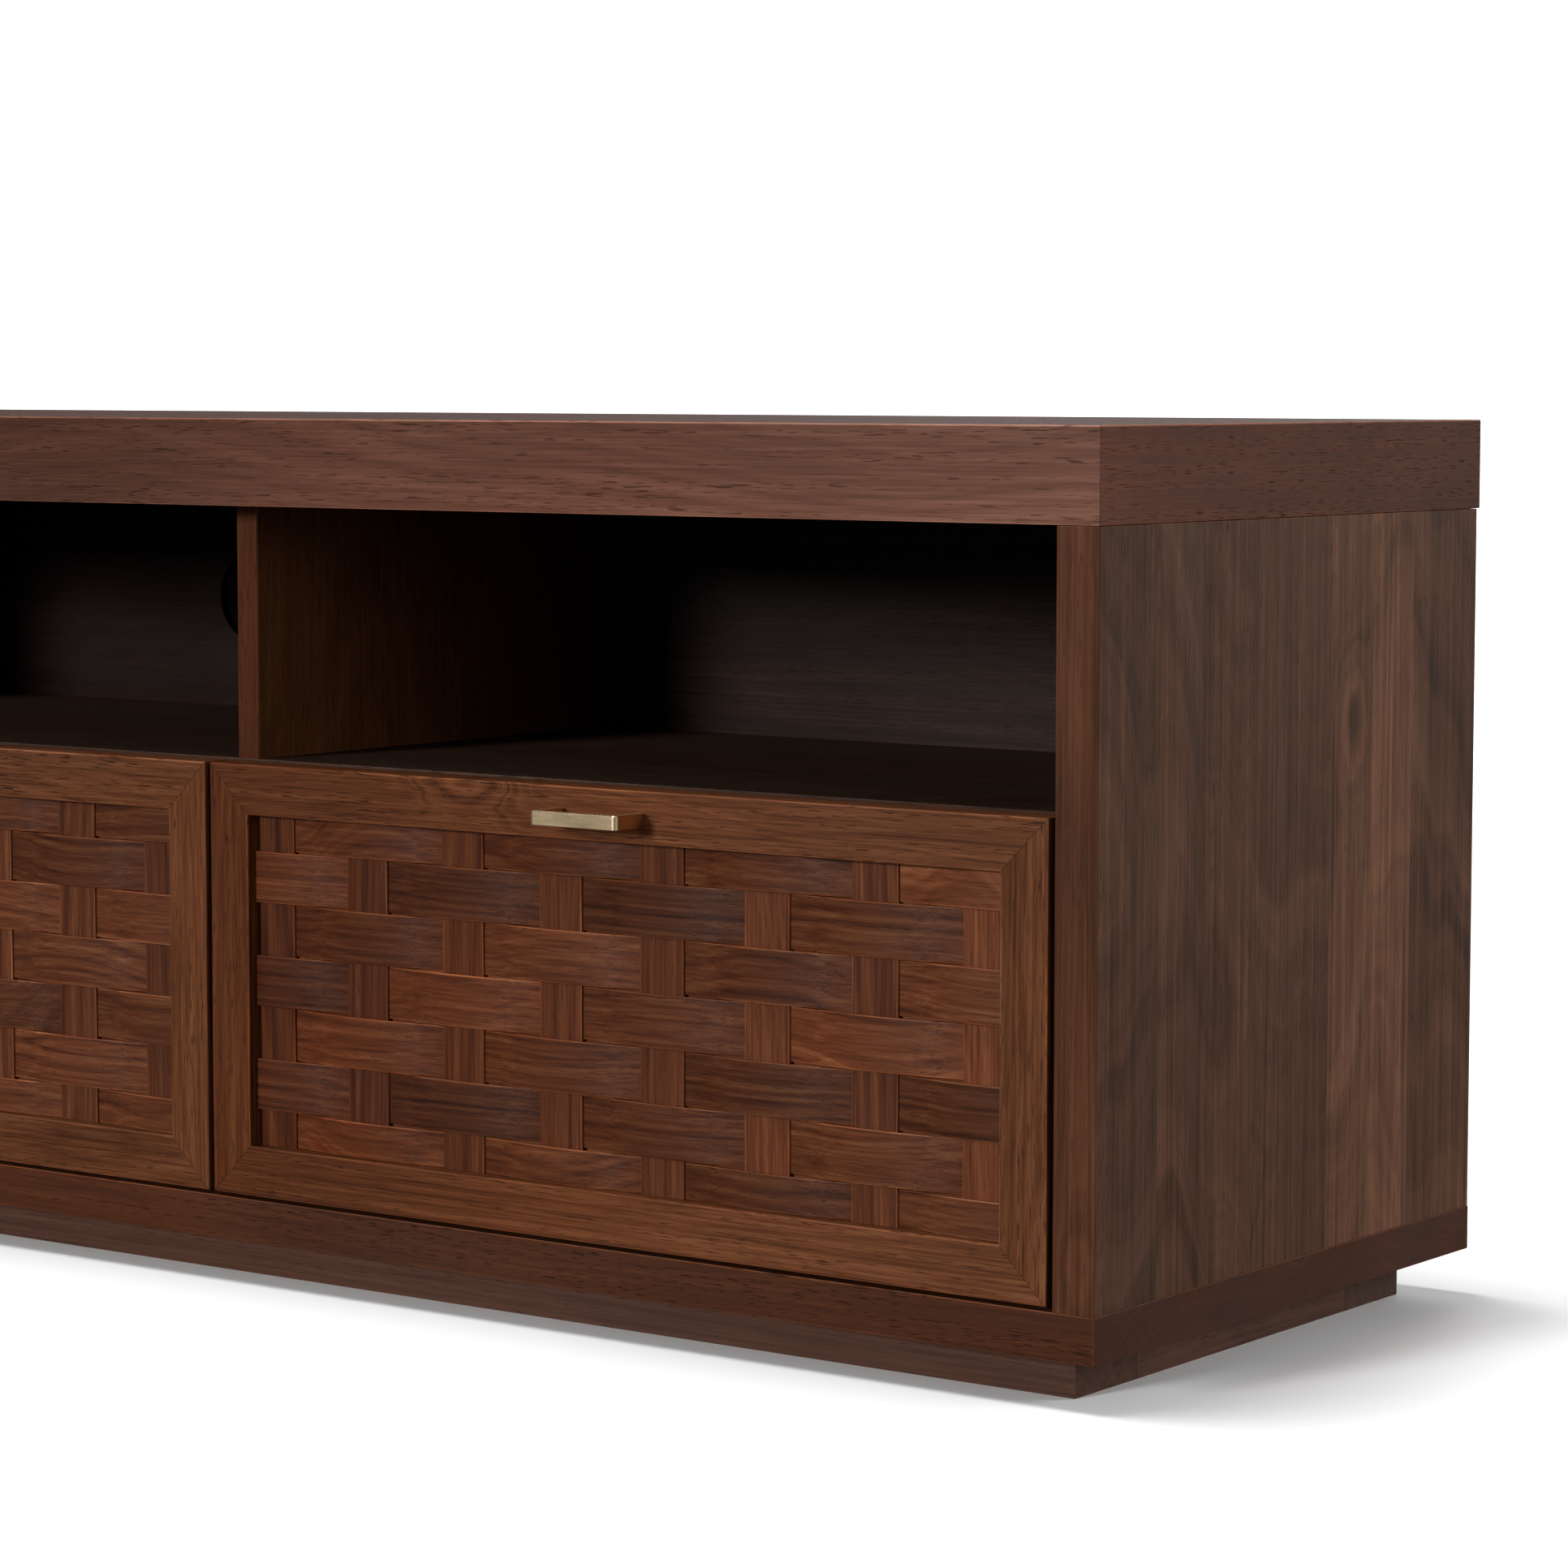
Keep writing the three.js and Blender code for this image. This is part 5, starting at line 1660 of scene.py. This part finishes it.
@dataclass
class CaseFittings:
    """What is fixed to the case: catches, hinge rail screws, back screws and the cable grommet.

    Attributes:
        pole: A catch pole's half length, half height, how far it stands out and how far it goes in.
        pole_rise: How far the two poles are above and below the catch's middle.
        screw: The radius of the screw heads.
        rail_screw_height: The height of the hinge rails' screw heads.
        rail_pitch: Their spacing.
        rail_steps: Where they are, in spacings from the rail's middle.
        rail_strip: The thickness of a rail's flat strip.
        rail_inset: How far they are from its back edge.
        back_screw_height: The height of the back panels' screw heads.
        back_columns: Where those are along the panels, as shares of half the length.
        back_rows: Where they are up each panel, as shares of its height.
        hole: The cable hole's radius.
        wall: The thickness of the grommet's ring.
        flange: How far its rim reaches past the hole.
        rim: How far the rim stands out behind the panel.
        rim_arris: The slope round the rim.
        fit: The play between the ring and the hole.
        bristles: How many bundles of bristle close the ring.
        bristle_tips: How near the middle the shortest and the longest bundles stop.
    """

    pole: tuple[float, float, float, float] = (15 * MM, 1 * MM, 0.5 * MM, 2 * MM)
    pole_rise: float = 2.6 * MM
    screw: float = 3.2 * MM
    rail_screw_height: float = 0.9 * MM
    rail_pitch: float = 96 * MM
    rail_steps: tuple[float, ...] = (-2.5, -1.5, -0.5, 0.5, 1.5, 2.5)
    rail_strip: float = 2 * MM
    rail_inset: float = 6 * MM
    back_screw_height: float = 1.1 * MM
    back_columns: tuple[float, ...] = (-0.985, -0.66, -0.3325, 0.0, 0.3325, 0.66, 0.985)
    back_rows: tuple[tuple[str, tuple[float, ...]], ...] = (
        ("upper_back_panel", (0.06, 0.94)),
        ("lower_back_panel", (0.035, 0.5, 0.965)),
    )
    hole: float = 30 * MM
    wall: float = 1.6 * MM
    flange: float = 4 * MM
    rim: float = 1.4 * MM
    rim_arris: float = 0.6 * MM
    fit: float = 0.1 * MM
    bristles: int = 120
    bristle_tips: tuple[float, float] = (1.5, 5.0)

    def build(self, shop: Workshop) -> None:
        """Makes all of them."""
        for bay in BAYS:
            self.build_catch(shop, f"{bay}_door_catch")
        self.build_rail_screws(shop)
        self.build_back_screws(shop)
        self.build_grommet(shop)

    def build_catch(self, shop: Workshop, node: str) -> None:
        """A moulded magnetic catch with two steel poles in its face."""
        low, high = corners_of(node)
        x, _, z = middle_of(node)
        shop.make(f"{node}_body", rounded_box(low, high, 1.2 * MM, 4), shop.slots[node], "carcass", (node,))
        half, tall, out, deep = self.pole
        first, last = low[1] - out, low[1] + deep
        poles = [
            rounded_box((x - half, first, level - tall), (x + half, last, level + tall), 0.2 * MM)
            for level in (z - self.pole_rise, z + self.pole_rise)
        ]
        shop.make(f"{node}_poles", Shell.joined(poles), "zinc_steel", "carcass")

    def build_rail_screws(self, shop: Workshop) -> None:
        """Screws down through the hinge rails' flat strips."""
        heads = []
        for bay in BAYS:
            low, high = corners_of(f"{bay}_hinge_rail")
            middle = (low[0] + high[0]) / 2
            for step in self.rail_steps:
                x = middle + step * self.rail_pitch
                seat = np.array([x, high[1] - self.rail_inset, low[2] + self.rail_strip])
                heads.append(screw_head(seat, 2, self.screw, self.rail_screw_height))
        shop.make("hinge_rail_screws", Shell.joined(heads), "zinc_steel", "carcass")

    def build_back_screws(self, shop: Workshop) -> None:
        """Two or three rows of screws through each back panel."""
        heads = []
        for node, rows in self.back_rows:
            low, high = corners_of(node)
            half = (high[0] - low[0]) / 2
            for column in self.back_columns:
                for row in rows:
                    seat = np.array([column * half, high[1], low[2] + row * (high[2] - low[2])])
                    heads.append(screw_head(seat, 1, self.screw, self.back_screw_height))
        shop.make("back_screws", Shell.joined(heads), "zinc_steel", "carcass")

    def build_grommet(self, shop: Workshop) -> None:
        """A ring in the cable hole, with soft bristles that a cable pushes through. The near-black bristles
        fill the hole, standing in for the shade seen through it.

        The bristles are a thin ring of points whose inner radius changes at random round the ring.
        """
        low, high = corners_of("upper_back_panel")
        centre = cable_hole()
        centre[1] = low[1]
        depth = high[1] - low[1]
        front, back = 0.3 * MM, depth + self.rim
        bore, seat, wide = self.hole - self.wall, self.hole - self.fit, self.hole + self.flange
        slope = self.rim_arris
        profile = np.array([
            (bore, front), (bore, back - slope), (bore + slope, back), (wide - slope, back),
            (wide, back - slope), (wide, depth), (seat, depth), (seat, front), (bore, front),
        ])
        ring = turned_piece(profile, centre, 1, 64)
        t = np.linspace(0.0, 2 * math.pi, self.bristles, endpoint=False)
        round_t = np.stack([np.cos(t), np.sin(t)], axis=-1)
        tip = shop.chance.uniform(*self.bristle_tips, self.bristles) * MM
        inner, outer = tip[:, None] * round_t, 1.01 * bore * round_t
        layers = [(inner, 0.45), (outer, 0.40), (outer, 0.60), (inner, 0.50), (inner, 0.45)]
        rings = np.stack([standing(flat, share * depth) for flat, share in layers])
        brush = Shell.from_grid(rings + centre, None, caps=False)
        # Painted shade: the black ring and bristles fill the cable hole with dark.
        shop.make("cable_grommet_shade_fill", Shell.joined([ring, brush]), "catch_plastic", "carcass")


def finish_steel(shop: Workshop) -> None:
    """Gives the frame's own steel pieces their finish."""
    for node, piece in frame["nodes"].items():
        if shop.slots[node] == "zinc_steel":
            shop.finishes.dress(piece, "zinc_steel")


# ---- The room -----------------------------------------------------------------------------


@dataclass(frozen=True)
class FarLight:
    """A distant soft light.

    Attributes:
        name: The light's name.
        bearing: Its direction from the front, in degrees to the viewer's right.
        height: Its height over the horizon, in degrees.
        spread: The angle that it fills, in degrees.
        strength: Its strength.
        colour: Its colour.
        distance: Where its marker hangs, which changes nothing in its light.
    """

    name: str
    bearing: float
    height: float
    spread: float
    strength: float
    colour: Colour = (1.0, 1.0, 1.0)
    distance: float = 5.0

    def build(self) -> None:
        """Hangs the light."""
        lamp = bpy.data.lights.new(self.name, "SUN")
        lamp.angle = math.radians(self.spread)
        lamp.energy = self.strength
        lamp.color = self.colour
        lit = bpy.data.objects.new(self.name, lamp)
        away = Vector(direction(self.bearing, self.height))
        aim = away.to_track_quat("Z", "Y").to_matrix().to_4x4()
        lit.matrix_world = Matrix.Translation(away * self.distance) @ aim
        bpy.context.scene.collection.objects.link(lit)


def direction(turn: float, rise: float) -> np.ndarray:
    """The unit vector at a turn from the front, to the viewer's right, and a rise, both in degrees."""
    a, e = math.radians(turn), math.radians(rise)
    return np.array([math.sin(a) * math.cos(e), -math.cos(a) * math.cos(e), math.sin(e)])


@dataclass
class Studio:
    """The floor, the lights and the camera.

    Attributes:
        azimuth: The camera's turn round the stand, in degrees.
        pitch: How far it looks down, in degrees.
        roll: Its roll, in degrees.
        lens: Its focal length on a 36 mm sensor.
        from_corner: Its place from the top's right front corner, at floor level.
        ambient: The surround's light on the stand.
        backdrop: The surround's strength behind the stand.
        reach: Half the floor's width.
        lights: The distant lights.
    """

    azimuth: float = 36.12
    pitch: float = 5.003
    roll: float = 0.054
    lens: float = 106.82
    from_corner: tuple[float, float, float] = (1.2377, -1.9623, 0.5238)
    ambient: float = 0.20
    backdrop: float = 1.05
    reach: float = 60.0
    lights: tuple[FarLight, ...] = (
        FarLight("key", -15.0, 12.5, 12.0, 3.2),
        FarLight("right_fill", 66.0, 15.0, 30.0, 0.5, (1.0, 0.98, 0.95)),
        FarLight("end_soft", 138.0, 14.0, 30.0, 2.4),
        FarLight("overhead", -80.0, 74.0, 30.0, 3.4),
        FarLight("behind", 200.0, 30.0, 30.0, 0.9),
    )

    def build(self) -> None:
        """Sets up the floor, the lights and the camera."""
        self.build_floor()
        self.build_lights()
        self.build_camera()

    def build_floor(self) -> None:
        """One large square under the stand. It takes shadows but throws no light back up."""
        mesh = bpy.data.meshes.new("floor")
        square = [(x * self.reach, y * self.reach, 0) for x, y in ((-1, -1), (1, -1), (1, 1), (-1, 1))]
        mesh.from_pydata(square, [], [(0, 1, 2, 3)])
        floor = bpy.data.objects.new("floor", mesh)
        floor.visible_diffuse = False
        floor.visible_glossy = False
        mesh.materials.append(StudioFloor().build())
        bpy.context.scene.collection.objects.link(floor)

    def build_lights(self) -> None:
        """Soft lights, and a surround that is dim to the stand and white behind it."""
        world = bpy.data.worlds.new("surround")
        world.use_nodes = True
        tree = world.node_tree
        background = tree.nodes["Background"]
        path = tree.nodes.new("ShaderNodeLightPath")
        shade = tree.nodes.new("ShaderNodeMapRange")
        tree.links.new(path.outputs["Is Camera Ray"], shade.inputs["Value"])
        shade.inputs["To Min"].default_value = self.ambient
        shade.inputs["To Max"].default_value = self.backdrop
        tree.links.new(shade.outputs["Result"], background.inputs["Strength"])
        background.inputs["Color"].default_value = (1.0, 1.0, 1.0, 1.0)
        bpy.context.scene.world = world
        for light in self.lights:
            light.build()

    def build_camera(self) -> None:
        """The camera, placed from the top's right front corner."""
        low, _ = corners_of("top_front_fascia")
        _, high = corners_of("top_right_fascia")
        corner = np.array([high[0], low[1], 0.0])
        back = Vector(direction(self.azimuth, self.pitch))
        camera = bpy.data.cameras.new("camera")
        camera.lens = self.lens
        camera.sensor_width = 36.0
        camera.clip_start = 0.05
        camera.clip_end = 200.0
        seen = bpy.data.objects.new("camera", camera)
        spin = Matrix.Rotation(math.radians(self.roll), 4, back)
        aim = back.to_track_quat("Z", "Y").to_matrix().to_4x4()
        seen.matrix_world = Matrix.Translation(Vector(corner + np.array(self.from_corner))) @ spin @ aim
        bpy.context.scene.collection.objects.link(seen)
        bpy.context.scene.camera = seen
        bpy.context.scene.view_settings.view_transform = "Standard"


def main() -> None:
    """Builds the stand in order: finishes, fixed case, doors, hardware and room."""
    logging.basicConfig(level=logging.INFO, format="%(name)s %(message)s")
    shop = Workshop(Finishes())
    Carcass().build(shop)
    for bay in BAYS:
        WovenDoor(bay).build(shop)
        DoorFittings(bay).build(shop)
    CaseFittings().build(shop)
    finish_steel(shop)
    Studio().build()


if __name__ == "__main__":
    main()
